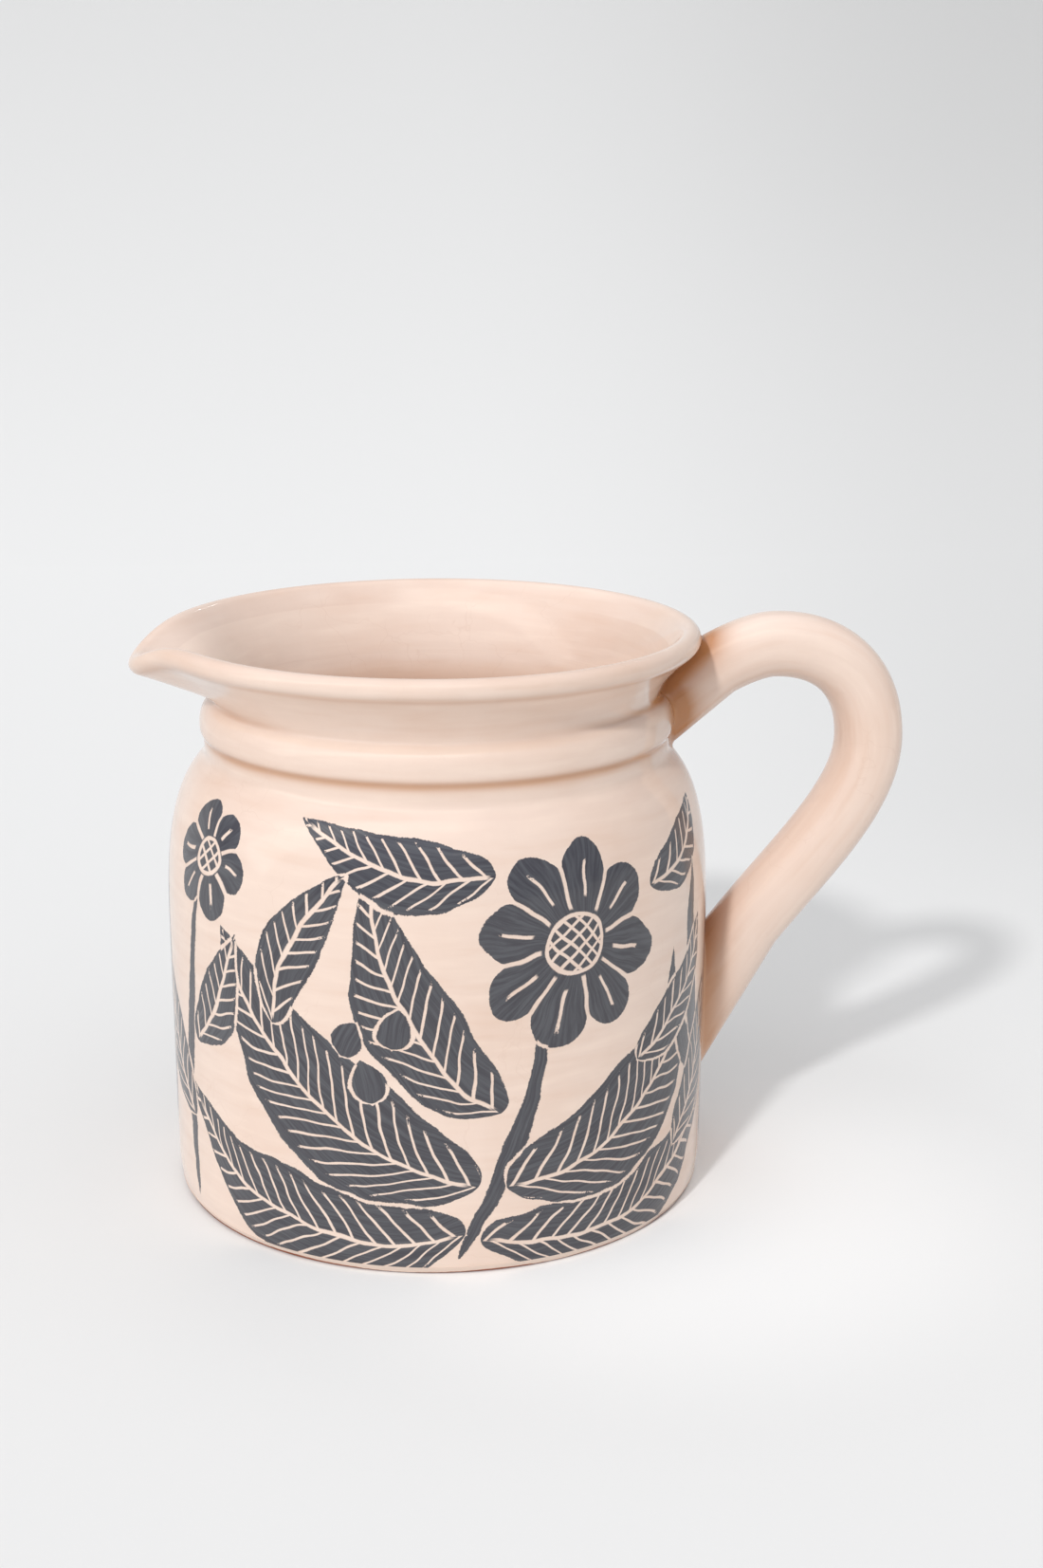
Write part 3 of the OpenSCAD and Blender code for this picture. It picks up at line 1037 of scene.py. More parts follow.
        above, below = points[first], points[last]
        return [
            cut("upper_handle_root", slice(0, first + 1),
                [Patch.flat(centre(top_sunk), top_sunk, points[0]), Patch.flat(above, centre(above))]),
            cut("handle_grip", slice(first, last + 1),
                [Patch.flat(centre(above), above), Patch.flat(below, centre(below))]),
            cut("lower_handle_root", slice(last, None),
                [Patch.flat(centre(below), below), Patch.flat(points[-1], low_sunk, centre(low_sunk))]),
        ]


# Finishes: shader graphs


@dataclass(frozen=True)
class Value:
    """A number in a shader graph: arithmetic on it adds Math nodes to the graph."""

    graph: "Graph"
    socket: Socket

    def math(self, operation: str, *others: "Value | float", swapped: bool = False,
             clamp: bool = False) -> "Value":
        """Adds one Math node.

        Args:
            operation: the node's operation.
            others: its further inputs.
            swapped: puts this number second.
            clamp: holds the result between 0 and 1.

        Returns:
            The node's result.
        """
        given = [self, *others][::-1] if swapped else [self, *others]
        node = self.graph.put("Math", dict(enumerate(given)), operation=operation, use_clamp=clamp)
        return Value(self.graph, node.outputs[0])

    def __add__(self, other: "Value | float") -> "Value":
        """The sum."""
        return self.math("ADD", other)

    def __sub__(self, other: "Value | float") -> "Value":
        """The difference."""
        return self.math("SUBTRACT", other)

    def __rsub__(self, other: float) -> "Value":
        """The difference from a plain number."""
        return self.math("SUBTRACT", other, swapped=True)

    def __mul__(self, other: "Value | float") -> "Value":
        """The product."""
        return self.math("MULTIPLY", other)

    def __truediv__(self, other: "Value | float") -> "Value":
        """The quotient."""
        return self.math("DIVIDE", other)

    def __rtruediv__(self, other: float) -> "Value":
        """A plain number divided by this one."""
        return self.math("DIVIDE", other, swapped=True)

    def __pow__(self, other: float) -> "Value":
        """The power."""
        return self.math("POWER", other)

    def __abs__(self) -> "Value":
        """The number without its sign."""
        return self.math("ABSOLUTE")

    __radd__ = __add__
    __rmul__ = __mul__

    def top(self, other: "Value | float") -> "Value":
        """The larger of the two."""
        return self.math("MAXIMUM", other)

    def held(self) -> "Value":
        """The number held between 0 and 1."""
        return self.math("ADD", 0.0, clamp=True)

    def ramp(self, at_zero: "Value | float", at_one: "Value | float") -> "Value":
        """A smooth step from 0 where the number is at_zero to 1 where it is at_one."""
        node = self.graph.put("MapRange", {0: self, 1: at_zero, 2: at_one}, interpolation_type="SMOOTHSTEP")
        return Value(self.graph, node.outputs[0])

    def near_line(self, gap: "Value | float") -> "Value":
        """Distance from the nearest of a row of lines, gap apart."""
        return abs((self / gap).math("FRACT") - 0.5) * gap


class Graph:
    """Adds nodes to one tree and joins them, so that a finish reads as a list of steps."""

    def __init__(self, tree: bpy.types.NodeTree) -> None:
        """Keeps the tree that it builds in."""
        self.tree = tree

    def put(self, kind: str, inputs: dict | None = None, **settings: object) -> bpy.types.Node:
        """Adds a node.

        Args:
            kind: the node's type, without its common prefix.
            inputs: values or sockets for its inputs, by name or number.
            settings: the node's own options.

        Returns:
            The node.
        """
        node = self.tree.nodes.new("ShaderNode" + kind)
        for name, value in settings.items():
            setattr(node, name, value)
        for name, value in (inputs or {}).items():
            self.feed(node.inputs[name], value)
        return node

    def feed(self, socket: Socket, value: object) -> None:
        """Joins a socket or number to an input, or sets the input to a plain value or an opaque colour."""
        if isinstance(value, Value):
            value = value.socket
        if isinstance(value, bpy.types.NodeSocket):
            self.tree.links.new(value, socket)
        elif socket.type == "RGBA" and len(value) == 3:
            socket.default_value = (*value, 1.0)
        else:
            socket.default_value = value

    def value(self, socket: Socket) -> Value:
        """A socket as a number to reckon with."""
        return Value(self, socket)

    def split(self, vector: Socket) -> tuple[Value, Value, Value]:
        """A vector's three numbers."""
        return tuple(Value(self, s) for s in self.put("SeparateXYZ", {0: vector}).outputs)

    def join(self, x: Value | float, y: Value | float, z: Value | float = 0.0) -> Socket:
        """A vector made of three numbers."""
        return self.put("CombineXYZ", {0: x, 1: y, 2: z}).outputs[0]

    def vector(self, operation: str, a: Socket, b: Socket | tuple) -> Socket:
        """One Vector Math node on two vectors."""
        return self.put("VectorMath", {0: a, 1: b}, operation=operation).outputs[0]

    def dot(self, a: Socket, b: tuple) -> Value:
        """The dot product of two vectors."""
        node = self.put("VectorMath", {0: a, 1: b}, operation="DOT_PRODUCT")
        return Value(self, node.outputs["Value"])

    def stray(self, place: Socket, scale: float, detail: float, far: tuple) -> Socket:
        """A vector that strays slowly, by up to half of far each way."""
        noise = self.put("TexNoise", {"Vector": place, "Scale": scale, "Detail": detail}).outputs[1]
        return self.vector("MULTIPLY", self.vector("SUBTRACT", noise, (0.5, 0.5, 0.5)), far)

    def noise(self, place: Socket, scale: float, detail: float = 2.0, rough: float = 0.5) -> Value:
        """Soft noise from 0 to 1; scale is in features for each millimetre."""
        node = self.put("TexNoise", {"Vector": place, "Scale": scale, "Detail": detail, "Roughness": rough})
        return Value(self, node.outputs[0])

    def mix(self, share: Value | float, a: object, b: object) -> Socket:
        """Colours mixed: a at share 0, b at share 1."""
        return self.put("Mix", {0: share, 6: a, 7: b}, data_type="RGBA").outputs[2]

    def shade(self, colour: object, by: Value) -> Socket:
        """Multiplies a colour by a number.

        Args:
            colour: a colour or its socket.
            by: the number.

        Returns:
            The shaded colour.
        """
        grey = self.put("CombineColor", {0: by, 1: by, 2: by}).outputs[0]
        node = self.put("Mix", {0: 1.0, 6: colour, 7: grey}, data_type="RGBA", blend_type="MULTIPLY")
        return node.outputs[2]

    def place_mm(self) -> Socket:
        """Object coordinates in millimetres."""
        where = self.put("TexCoord").outputs["Object"]
        return self.put("VectorMath", {0: where, "Scale": 1 / MM}, operation="SCALE").outputs[0]

    def bump(self, height: Value) -> Socket:
        """The normal of a surface with a height in millimetres."""
        return self.put("Bump", {"Height": height, "Distance": MM, "Strength": 1.0}).outputs[0]

    def use(self, group: "Group", inputs: dict[str, object]) -> dict[str, Socket]:
        """Places a node group with its own values.

        Args:
            group: the group.
            inputs: values or sockets for its named inputs.

        Returns:
            Its outputs by name.
        """
        node = self.tree.nodes.new("ShaderNodeGroup")
        node.node_tree = group.tree
        for name, value in inputs.items():
            self.feed(node.inputs[name], value)
        return {s.name: s for s in node.outputs}


class Group(Graph):
    """A shader node group with named inputs and outputs, built once and placed where it is needed."""

    KINDS = {0: "NodeSocketFloat", 3: "NodeSocketVector", 4: "NodeSocketColor"}

    def __init__(self, name: str, inputs: dict[str, float | tuple], outputs: dict[str, int]) -> None:
        """Makes the group's tree and sockets.

        Args:
            name: the group's name.
            inputs: start values by name: a number, a vector of three or a colour of four.
            outputs: by name, 0 for a number, 3 for a vector, 4 for a colour.
        """
        super().__init__(bpy.data.node_groups.new(name, "ShaderNodeTree"))
        for label, start in inputs.items():
            size = len(start) if isinstance(start, tuple) else 0
            socket = self.tree.interface.new_socket(name=label, in_out="INPUT", socket_type=self.KINDS[size])
            socket.default_value = start
        for label, size in outputs.items():
            self.tree.interface.new_socket(name=label, in_out="OUTPUT", socket_type=self.KINDS[size])
        self.given = self.tree.nodes.new("NodeGroupInput").outputs
        self.result = self.tree.nodes.new("NodeGroupOutput").inputs

    def number(self, name: str) -> Value:
        """One of the group's number inputs."""
        return Value(self, self.given[name])


def glaze_tone_group() -> Group:
    """Glaze colour that clouds softly, warm where thick and pale where thinner, with painted shade and light.

    Color is Body, mixed with the deep colour by the thickness input above 0, by clouds and by the brush's
    streaks, then with the pale colour by that input below 0 and by the streaks between those. The input
    and both colours carry painted shade and light as well as the glaze's pooling. It is shaded a few
    hundredths by clouds, faint runs down the pot, fine noise and streaks. Roughness varies with clouds and
    fine noise, Height with slow noise and streaks.

    Returns:
        The group, with Color, Roughness and Height.
    """
    g = Group("glaze tone",
              {"Place": ORIGIN, "Brushed": ORIGIN, "Body": GREY, "Pooled And Shaded": GREY, "Thin And Lit": GREY, "Pool And Shade": 0.0},
              {"Color": 4, "Roughness": 0, "Height": 0})
    place = g.given["Place"]
    cloud = g.noise(place, 0.022, 3.0, 0.55)
    run = g.noise(g.vector("MULTIPLY", place, (1.0, 1.0, 0.12)), 0.16, 2.0)
    fine = g.noise(place, 0.5, 3.0, 0.6)
    streak = g.noise(g.given["Brushed"], 1.0, 2.5, 0.5)
    pool = g.number("Pool And Shade")
    warm = (pool.top(0.0) + (cloud - 0.48).top(0.0) * 0.6 + (streak - 0.52).top(0.0) * 0.5).held()
    colour = g.mix(warm, g.given["Body"], g.given["Pooled And Shaded"])
    pale = (pool * -1.0 + (0.48 - streak).top(0.0) * 2.0).held()
    colour = g.mix(pale, colour, g.given["Thin And Lit"])
    tone = (cloud - 0.5) * 0.05 + (run - 0.5) * 0.03 + (fine - 0.5) * 0.02 + (streak - 0.5) * 0.03 + 1.0
    g.feed(g.result["Color"], g.shade(colour, tone))
    g.feed(g.result["Roughness"], 0.05 + (cloud - 0.35).top(0.0) * 0.1 + fine * 0.04)
    g.feed(g.result["Height"], g.noise(place, 0.07, 2.0) * 0.10 + streak * 0.02)
    return g


def crazing_group() -> Group:
    """Fine crackle in the glaze: the edges of uneven cells, Width wide, in patches.

    The mask is 1 - step(0, Width / Cell, distance to the cell's edge), times a patch of slow noise.

    Returns:
        The group, with Mask.
    """
    g = Group("crazing", {"Place": ORIGIN, "Cell": 16.0, "Width": 0.3}, {"Mask": 0})
    place = g.given["Place"]
    bent = g.vector("ADD", place, g.stray(place, 0.09, 3.0, (14.0, 14.0, 14.0)))
    cells = g.put("TexVoronoi", {"Vector": bent, "Scale": 1.0 / g.number("Cell")}, feature="DISTANCE_TO_EDGE")
    line = g.value(cells.outputs[0]).ramp(g.number("Width") / g.number("Cell"), 0.0)
    patch = g.noise(place, 0.03, 1.0).ramp(0.5, 0.62)
    g.feed(g.result["Mask"], line * patch)
    return g


def drawn_line(far: Value, rough: Value, stray: float, outer: float, inner: float) -> Value:
    """A scratched line's mask: 1 within inner millimetres of it, 0 past outer, straying with rough."""
    return (far + rough * stray).ramp(outer, inner)


def lay_motif(g: Group, edge: Value, drawn: Value, brush: Socket) -> None:
    """Lays one motif over what is already painted, and gives the group its results.

    Slip is the larger of the old and the new. Scratches outside the motif stay, those inside are drawn, and
    the motif's edge is scratched where it crosses slip behind it.

    Args:
        g: the motif's group.
        edge: distance outside the motif's edge in millimetres, below 0 inside.
        drawn: the lines scratched in the motif.
        brush: the way of the brush in the motif, as places in its noise.
    """
    slip = g.number("Slip")
    inside = edge.ramp(0.12, -0.12)
    behind = drawn_line(abs(edge), g.number("Rough"), 0.2, 0.72, 0.4) * slip
    keep = g.put("Mix", {0: inside, 2: g.number("Scratch"), 3: drawn}, data_type="FLOAT").outputs[0]
    over = g.put("Mix", {0: inside, 4: g.given["Brush"], 5: brush}, data_type="VECTOR").outputs[1]
    g.feed(g.result["Slip"], slip.top(inside))
    g.feed(g.result["Scratch"], g.value(keep).top(behind))
    g.feed(g.result["Brush"], over)


def leaf_group() -> Group:
    """One leaf brushed in slip and drawn into with a point, laid over what is already painted.

    With x and y along and across the leaf, and t = x / Length held between 0 and 1, the leaf's half width is
    2.75 Half Width t^0.6 (1-t)^0.9 about a middle line bent by 4 Bend t (1-t). A midrib and slanting side
    veins are scratched in it.

    Returns:
        The group, with what every motif's group gives.
    """
    g = Group("leaf", {**MOTIF_TAKES, "Base": ORIGIN, "Turn": 0.0, "Length": 50.0, "Half Width": 10.0,
                       "Bend": 0.0, "Vein Gap": 5.0, "Vein Slope": 0.9, "Veins": 1.0}, MOTIF_GIVES)
    off = g.vector("SUBTRACT", g.given["Place"], g.given["Base"])
    turned = g.put("VectorRotate", {"Vector": off, "Angle": g.given["Turn"]},
                   rotation_type="Z_AXIS", invert=True)
    x, y, _ = g.split(turned.outputs[0])
    t = x.math("DIVIDE", g.number("Length"), clamp=True)
    rest = 1.0 - t
    side = y - g.number("Bend") * 4.0 * t * rest
    across, past = abs(side), abs(x - t * g.number("Length"))
    half = g.number("Half Width") * 2.75 * t**0.6 * rest**0.9
    rough = g.number("Rough")
    rib = drawn_line(across, rough, 0.3, 0.75, 0.4) * t.ramp(0.02, 0.05) * t.ramp(0.96, 0.91)
    slanted = x - g.number("Vein Slope") * across + side.ramp(-0.1, 0.1) * 1.7
    vein = drawn_line(slanted.near_line(g.number("Vein Gap")), rough, 0.3, 0.62, 0.32)
    vein = vein * (across + rough * 4.0).ramp(half * 0.86, half * 0.8)
    brush = g.join(x * 0.03, side * 0.9, g.number("Length") + g.number("Turn"))
    lay_motif(g, across + past - half + rough, rib.top(vein) * g.number("Veins"), brush)
    return g


def bloom_group() -> Group:
    """One open flower brushed in slip, with the lines between its petals and a hatched middle drawn into it.

    With r and a the distance and angle from the centre, and c = |cos(Petals a / 2)|, the flower's edge is at
    Radius (0.66 + 0.34 c^0.55). Lines are scratched where c is 0, short lines down the petals, a ring at
    0.3 of the radius, and crossed lines inside it.

    Returns:
        The group, with what every motif's group gives.
    """
    g = Group("bloom", {**MOTIF_TAKES, "Centre": ORIGIN, "Radius": 20.0, "Petals": 8.0, "Turn": 0.0},
              MOTIF_GIVES)
    x, y, _ = g.split(g.vector("SUBTRACT", g.given["Place"], g.given["Centre"]))
    r = (x * x + y * y).math("SQRT")
    k = (y.math("ARCTAN2", x) + g.number("Turn")) * g.number("Petals") * 0.5
    c, s = abs(k.math("COSINE")), abs(k.math("SINE"))
    radius, rough = g.number("Radius"), g.number("Rough")
    edge = r - radius * (0.66 + c**0.55 * 0.34) + rough
    arc = r * 2.0 / g.number("Petals")
    middle = radius * 0.3
    between = drawn_line(c * arc, rough, 0.3, 0.72, 0.38) * r.ramp(middle * 1.15, middle * 1.25)
    down = drawn_line(s * arc, rough, 0.3, 0.6, 0.3) * r.ramp(middle * 1.5, middle * 1.6)
    down = down * (r + rough * 5.0).ramp(radius * 0.82, radius * 0.78)
    ring = drawn_line(abs(r - middle), rough, 0.4, 0.75, 0.4)
    hatch_gap = 4.4
    one_way, other_way = (slant.near_line(hatch_gap).ramp(0.75, 0.4) for slant in (x + y, x - y))
    hatch = one_way.top(other_way) * r.ramp(middle, middle * 0.95)
    lay_motif(g, edge, between.top(down).top(ring).top(hatch), g.join(r * 0.05, k * radius * 0.12, radius))
    return g


@dataclass(frozen=True)
class Leaf:
    """A leaf or, without veins, a plain brush stroke. Places are millimetres round from the spout and up."""

    base: Pair
    turn_deg: float
    length: float
    half_width: float
    bend: float = 0.0
    vein_gap: float = 5.2
    vein_slope: float = 1.1
    veins: float = 1.0

    def inputs(self) -> dict[str, object]:
        """The leaf group's own values for this leaf."""
        return {"Base": (*self.base, 0.0), "Turn": math.radians(self.turn_deg), "Length": self.length,
                "Half Width": self.half_width, "Bend": self.bend, "Vein Gap": self.vein_gap,
                "Vein Slope": self.vein_slope, "Veins": self.veins}

    def span(self) -> Pair:
        """The stretch round the pot that the leaf may touch, with the brush's sway.

        Returns:
            The least and the most, in millimetres round from the spout.
        """
        tip = self.base[0] + self.length * math.cos(math.radians(self.turn_deg))
        side = (self.half_width + abs(self.bend)) * abs(math.sin(math.radians(self.turn_deg))) + SWAY
        return min(self.base[0], tip) - side, max(self.base[0], tip) + side


@dataclass(frozen=True)
class Bloom:
    """An open flower. Places are millimetres round from the spout and up."""

    centre: Pair
    radius: float
    petals: float = 8.0
    turn: float = 0.2

    def inputs(self) -> dict[str, object]:
        """The bloom group's own values for this flower."""
        return {"Centre": (*self.centre, 0.0), "Radius": self.radius, "Petals": self.petals,
                "Turn": self.turn}

    def span(self) -> Pair:
        """The stretch round the pot that the flower may touch."""
        return self.centre[0] - self.radius - SWAY, self.centre[0] + self.radius + SWAY


@dataclass(frozen=True)
class Frieze:
    """A spray of leaves and flowers on each half of the pot, in the order in which it is painted."""

    motifs: tuple[Leaf | Bloom, ...] = (
        Leaf((118, 5), 72, 80, 2.4, -4, veins=0),
        Leaf((120, 12), 163, 94, 14, 15),
        Leaf((122, 24), 139, 98, 17, 12),
        Leaf((128, 44), 118, 74, 12.5, 9),
        Leaf((124, 10), 13, 88, 12.5, -11),
        Leaf((130, 24), 36, 84, 15.5, -12),
        Bloom((148, 88), 27, 8),
        Leaf((176, 98), 28, 36, 7.5, -3),
        Leaf((30, 6), 84, 98, 2.2, 6, veins=0),
        Leaf((30, 30), 118, 44, 8.5, 4),
        Leaf((33, 52), 60, 40, 8, -4),
        Bloom((40, 104), 16, 6),
        Leaf((0, 14), 90, 96, 11, 0),
        Leaf((127, 107), 166, 56, 9.5, 5),
        Leaf((66, 66), 62, 46, 8.5, 5),
        Leaf((86, 60), 60, 11, 4.6, 0, veins=0),
        Leaf((94, 48), 100, 11, 4.6, 0, veins=0),
        Leaf((100, 62), 80, 11, 4.6, 0, veins=0),
        Leaf((206, 34), 96, 66, 4.2, 5, veins=0),
        Leaf((207, 34), 78, 54, 3.6, -4, veins=0),
        Leaf((205, 34), 114, 50, 3.6, 5, veins=0),
        Leaf((188, 20), 62, 50, 9, -5),
        Leaf((170, 52), 42, 46, 8.5, -5),
        Leaf((222, 8), 92, 34, 6, 0),
    )

    def part(self, low: float, high: float) -> "Frieze":
        """The same spray with only the motifs that may touch one stretch round the pot."""
        return Frieze(tuple(m for m in self.motifs if m.span()[0] < high and m.span()[1] > low))

    def paint(self, graph: Graph, groups: dict[type, Group], place: Socket,
              rough: Value) -> tuple[Value, Value, Socket]:
        """Lays the motifs one over the other.

        Args:
            graph: the graph to build in.
            groups: the node group of each kind of motif.
            place: millimetres round from the spout and up the pot.
            rough: how far the brush's edge strays, in millimetres.

        Returns:
            Where the slip lies, where it is scratched, and the brush's own coordinates.
        """
        laid = {name: MOTIF_TAKES[name] for name in MOTIF_GIVES}
        for motif in self.motifs:
            laid = graph.use(groups[type(motif)], {"Place": place, "Rough": rough, **laid, **motif.inputs()})
        return graph.value(laid["Slip"]), graph.value(laid["Scratch"]), laid["Brush"]


def new_finish(name: str) -> tuple[bpy.types.Material, Graph, bpy.types.NodeInputs]:
    """Makes a material that has only its shader.

    Args:
        name: the material's name.

    Returns:
        The material, its graph and its shader's inputs.
    """
    material = bpy.data.materials.new(name)
    material.use_nodes = True
    tree = material.node_tree
    return material, Graph(tree), tree.nodes["Principled BSDF"].inputs


@dataclass(frozen=True)
class Glaze:
    """Clear, warm, pinkish-cream gloss glaze, alone or over a painted frieze."""

    name: str
    tone_group: Group
    craze_group: Group
    motif_groups: dict[type, Group] | None = None
    frieze: Frieze | None = None
    body: Colour = (0.825, 0.655, 0.555)
    # Deep orange-brown of thick glaze, partly a painted shade colour for shaded creases and roots.
    pooled_and_shaded: Colour = (0.53, 0.25, 0.11)
    # Pale colour of thinner glaze, partly painted light on the collar's bead and on the inside by the spout.
    thin_and_lit: Colour = (0.92, 0.75, 0.635)
    craze: Colour = (0.66, 0.46, 0.36)
    slip: Colour = (0.056, 0.054, 0.064)
    slip_light: Colour = (0.092, 0.094, 0.105)
    craze_cell: float = 17.0
    craze_width: float = 0.24
    craze_share: float = 0.18
    ior: float = 1.5

    def _painted(self, g: Graph, place: Socket) -> tuple[Socket, Value, Value]:
        """The painted frieze.

        Args:
            g: the material's graph.
            place: object coordinates in millimetres.

        Returns:
            The slip's colour, how much of it shows, and its height in millimetres.
        """
        u, v, _ = g.split(g.put("UVMap", uv_map=TURNED_MAP).outputs[0])
        half = TURN_LENGTH / 2
        flat = g.join((u - half).math("PINGPONG", half), v)
        sway = g.stray(place, 0.045, 2.0, (2 * SWAY, 2 * SWAY, 0.0))
        rough = (g.noise(place, 0.6, 2.0) - 0.5) * 0.7 + (g.noise(place, 2.4, 2.0) - 0.5) * 0.5
        slip, scratch, brush = self.frieze.paint(g, self.motif_groups, g.vector("ADD", flat, sway), rough)
        streak = g.noise(brush, 1.6, 4.0, 0.65)
        worn = streak.ramp(0.70, 0.82) * 0.35
        shows = slip * (1.0 - scratch) * (1.0 - worn)
        dark = g.mix(streak.ramp(0.36, 0.66), self.slip, self.slip_light)
        height = slip * 0.05 + streak * slip * 0.015 - scratch * slip * 0.09
        return dark, shows, height

    def make(self) -> bpy.types.Material:
        """Builds the material: the frieze, where there is one, under toned and crazed glaze.

        Returns:
            The material.
        """
        material, g, shader = new_finish(self.name)
        place = g.place_mm()
        painted = self._painted(g, place) if self.frieze else None
        # The glaze's thickness, whose darker and paler places are partly painted shade and light.
        pool = g.put("Attribute", attribute_name=POOL_AND_SHADE).outputs["Fac"]
        brushed = g.put("Attribute", attribute_name=BRUSHED).outputs["Vector"]
        tone = g.use(self.tone_group, {"Place": place, "Brushed": brushed, "Pool And Shade": pool, "Body": self.body,
                                       "Pooled And Shaded": self.pooled_and_shaded, "Thin And Lit": self.thin_and_lit})
        cracks = g.use(self.craze_group, {"Place": place, "Cell": self.craze_cell, "Width": self.craze_width})
        colour = g.mix(g.value(cracks["Mask"]) * self.craze_share, tone["Color"], self.craze)
        rough, height = g.value(tone["Roughness"]), g.value(tone["Height"])
        if painted:
            dark, shows, raised = painted
            colour = g.mix(shows, colour, dark)
            rough = rough + shows * 0.06
            height = height + raised
        g.feed(shader["Base Color"], colour)
        g.feed(shader["Roughness"], rough)
        g.feed(shader["Normal"], g.bump(height))
        g.feed(shader["IOR"], self.ior)
        return material


@dataclass(frozen=True)
class BareClay:
    """Unglazed red earthenware, with the glaze's edge where it stops above the foot."""

    tone_group: Group
    glaze: Colour = (0.80, 0.645, 0.545)
    clay: Colour = (0.36, 0.125, 0.065)
    clay_dark: Colour = (0.23, 0.075, 0.045)
    glaze_edge_mm: float = 0.75
    glazed_from_r: float = 71.0
    glazed_to_r: float = 71.6

    def make(self) -> bpy.types.Material:
        """Builds the material: gritty clay below a wavering edge, glaze above it.

        Returns:
            The material.
        """
        material, g, shader = new_finish("bare_clay")
        place = g.place_mm()
        x, y, z = g.split(place)
        grit = g.noise(place, 0.9, 4.0, 0.7)
        blotch = g.noise(place, 0.08, 3.0)
        radius = (x * x + y * y).math("SQRT")
        rings = g.noise(g.join(radius, 0.0), 0.6, 3.0)
        clay = g.mix((grit * 0.6 + blotch * 0.6 - 0.1).held(), self.clay_dark, self.clay)
        tone = g.use(self.tone_group, {"Place": place, "Body": self.glaze, "Pooled And Shaded": self.glaze,
                                       "Thin And Lit": self.glaze, "Pool And Shade": 0.0})
        lift = (g.noise(place, 0.03, 1.0) - 0.5) * 1.6 + (g.noise(place, 0.5, 2.0) - 0.5) * 0.4
        lift = lift - (x - y) * 0.004
        over = (z - self.glaze_edge_mm - lift).ramp(-0.1, 0.1)
        over = over * radius.ramp(self.glazed_from_r, self.glazed_to_r)
        g.feed(shader["Base Color"], g.mix(over, clay, tone["Color"]))
        g.feed(shader["Roughness"], 0.85 - over * 0.72)
        height = (grit * 0.12 + rings * 0.2) * (1.0 - over) + over * 0.15
        g.feed(shader["Normal"], g.bump(height))
        return material


# The stage


@dataclass(frozen=True)
class Backdrop:
    """A pale sheet that lies flat under the jug and sweeps up behind it, in metres."""

    half_width: float = 4.0
    front_y: float = -2.5
    bend_y: float = 1.0
    bend_r: float = 1.4
    top_z: float = 1.5
    drop: float = 0.0001
    flat_rows: int = 30
    bend_rows: int = 49
    up_rows: int = 12
    columns: int = 41
    colour: Colour = (0.762, 0.761, 0.757)

    def make(self) -> bpy.types.Object:
        """Builds the sheet: flat to bend_y, a quarter round of bend_r, then straight up to top_z.

        Returns:
            The sheet.
        """
        turn = np.linspace(0, math.pi / 2, self.bend_rows)
        flat_y, back_y = np.linspace(self.front_y, self.bend_y, self.flat_rows), self.bend_y + self.bend_r
        flat = np.stack([flat_y, 0 * flat_y], -1)
        bend = np.stack([self.bend_y + self.bend_r * np.sin(turn), self.bend_r * (1 - np.cos(turn))], -1)
        up_z = np.linspace(self.bend_r, self.top_z, self.up_rows)
        yz = joined(flat, bend, np.stack([np.full_like(up_z, back_y), up_z], -1))
        x = np.linspace(-self.half_width, self.half_width, self.columns)
        points = np.stack(np.broadcast_arrays(x, yz[:, :1], yz[:, 1:] - self.drop), -1)
        faces = grid_faces(*points.shape[:2])
        mesh = bpy.data.meshes.new("backdrop")
        mesh.from_pydata(points.reshape(-1, 3).tolist(), [], faces.tolist())
        mesh.polygons.foreach_set("use_smooth", np.ones(len(faces), bool))
        mesh.materials.append(self._paper())
        obj = placed("backdrop", mesh)
        return obj

    def _paper(self) -> bpy.types.Material:
        """Matt paper with painted shade and light: tone falls slowly to the back and right, rises round the
        jug.

        The tone is the fall with height, 1 - 0.39 z^0.5 + 0.16 z, times the fall to the right, plus two soft
        rounds on the floor and a fine grain. The falls are painted shade of the studio's light falling off,
        and the rounds are painted light that lifts the jug's shade off the floor.

        Returns:
            The material.
        """
        material, g, shader = new_finish("backdrop_paper")
        x, y, z = g.split(g.put("TexCoord").outputs["Object"])

        def painted_light_round(at_x: float, at_y: float, inner: float, outer: float) -> Value:
            """1 within inner metres of a place on the floor, 0 past outer."""
            return 1.0 - (((x - at_x) ** 2.0 + (y - at_y) ** 2.0) ** 0.5).ramp(inner, outer)

        grain = g.noise(g.place_mm(), 0.8, 2.0)
        z = z.top(0.0)
        # Painted shade: darker with height and to the right, as the studio's light falls off.
        rise = 1.0 - z**0.5 * 0.39 + z * 0.16
        aside = (x / (y + 0.8).top(0.3)).ramp(0.05, 0.3)
        right = 1.0 - aside * (y.ramp(0.0, 0.4) * 0.135 + z.ramp(0.05, 0.3) * 0.03)
        # Painted light: two rounds lighter round the jug, lifting its shade off the floor.
        near, front = painted_light_round(0.055, -0.035, 0.035, 0.13), painted_light_round(0.04, -0.06, 0.08, 0.26)
        tone = rise * right + near * 0.2 + front * 0.025 + (grain - 0.5) * 0.012
        g.feed(shader["Base Color"], g.shade(self.colour, tone))
        g.feed(shader["Roughness"], 1.0)
        g.feed(shader["Specular IOR Level"], 0.0)
        return material


@dataclass(frozen=True)
class SoftLight:
    """A soft spread of light in the surroundings: strength max(d . toward, 0)^power for each direction d."""

    toward: tuple[float, float, float]
    power: float
    strength: float

    def seen(self, graph: Graph, way: Socket) -> Value:
        """How bright it is in one direction."""
        toward = tuple(Vector(self.toward).normalized())
        return graph.dot(way, toward).top(0.0) ** self.power * self.strength


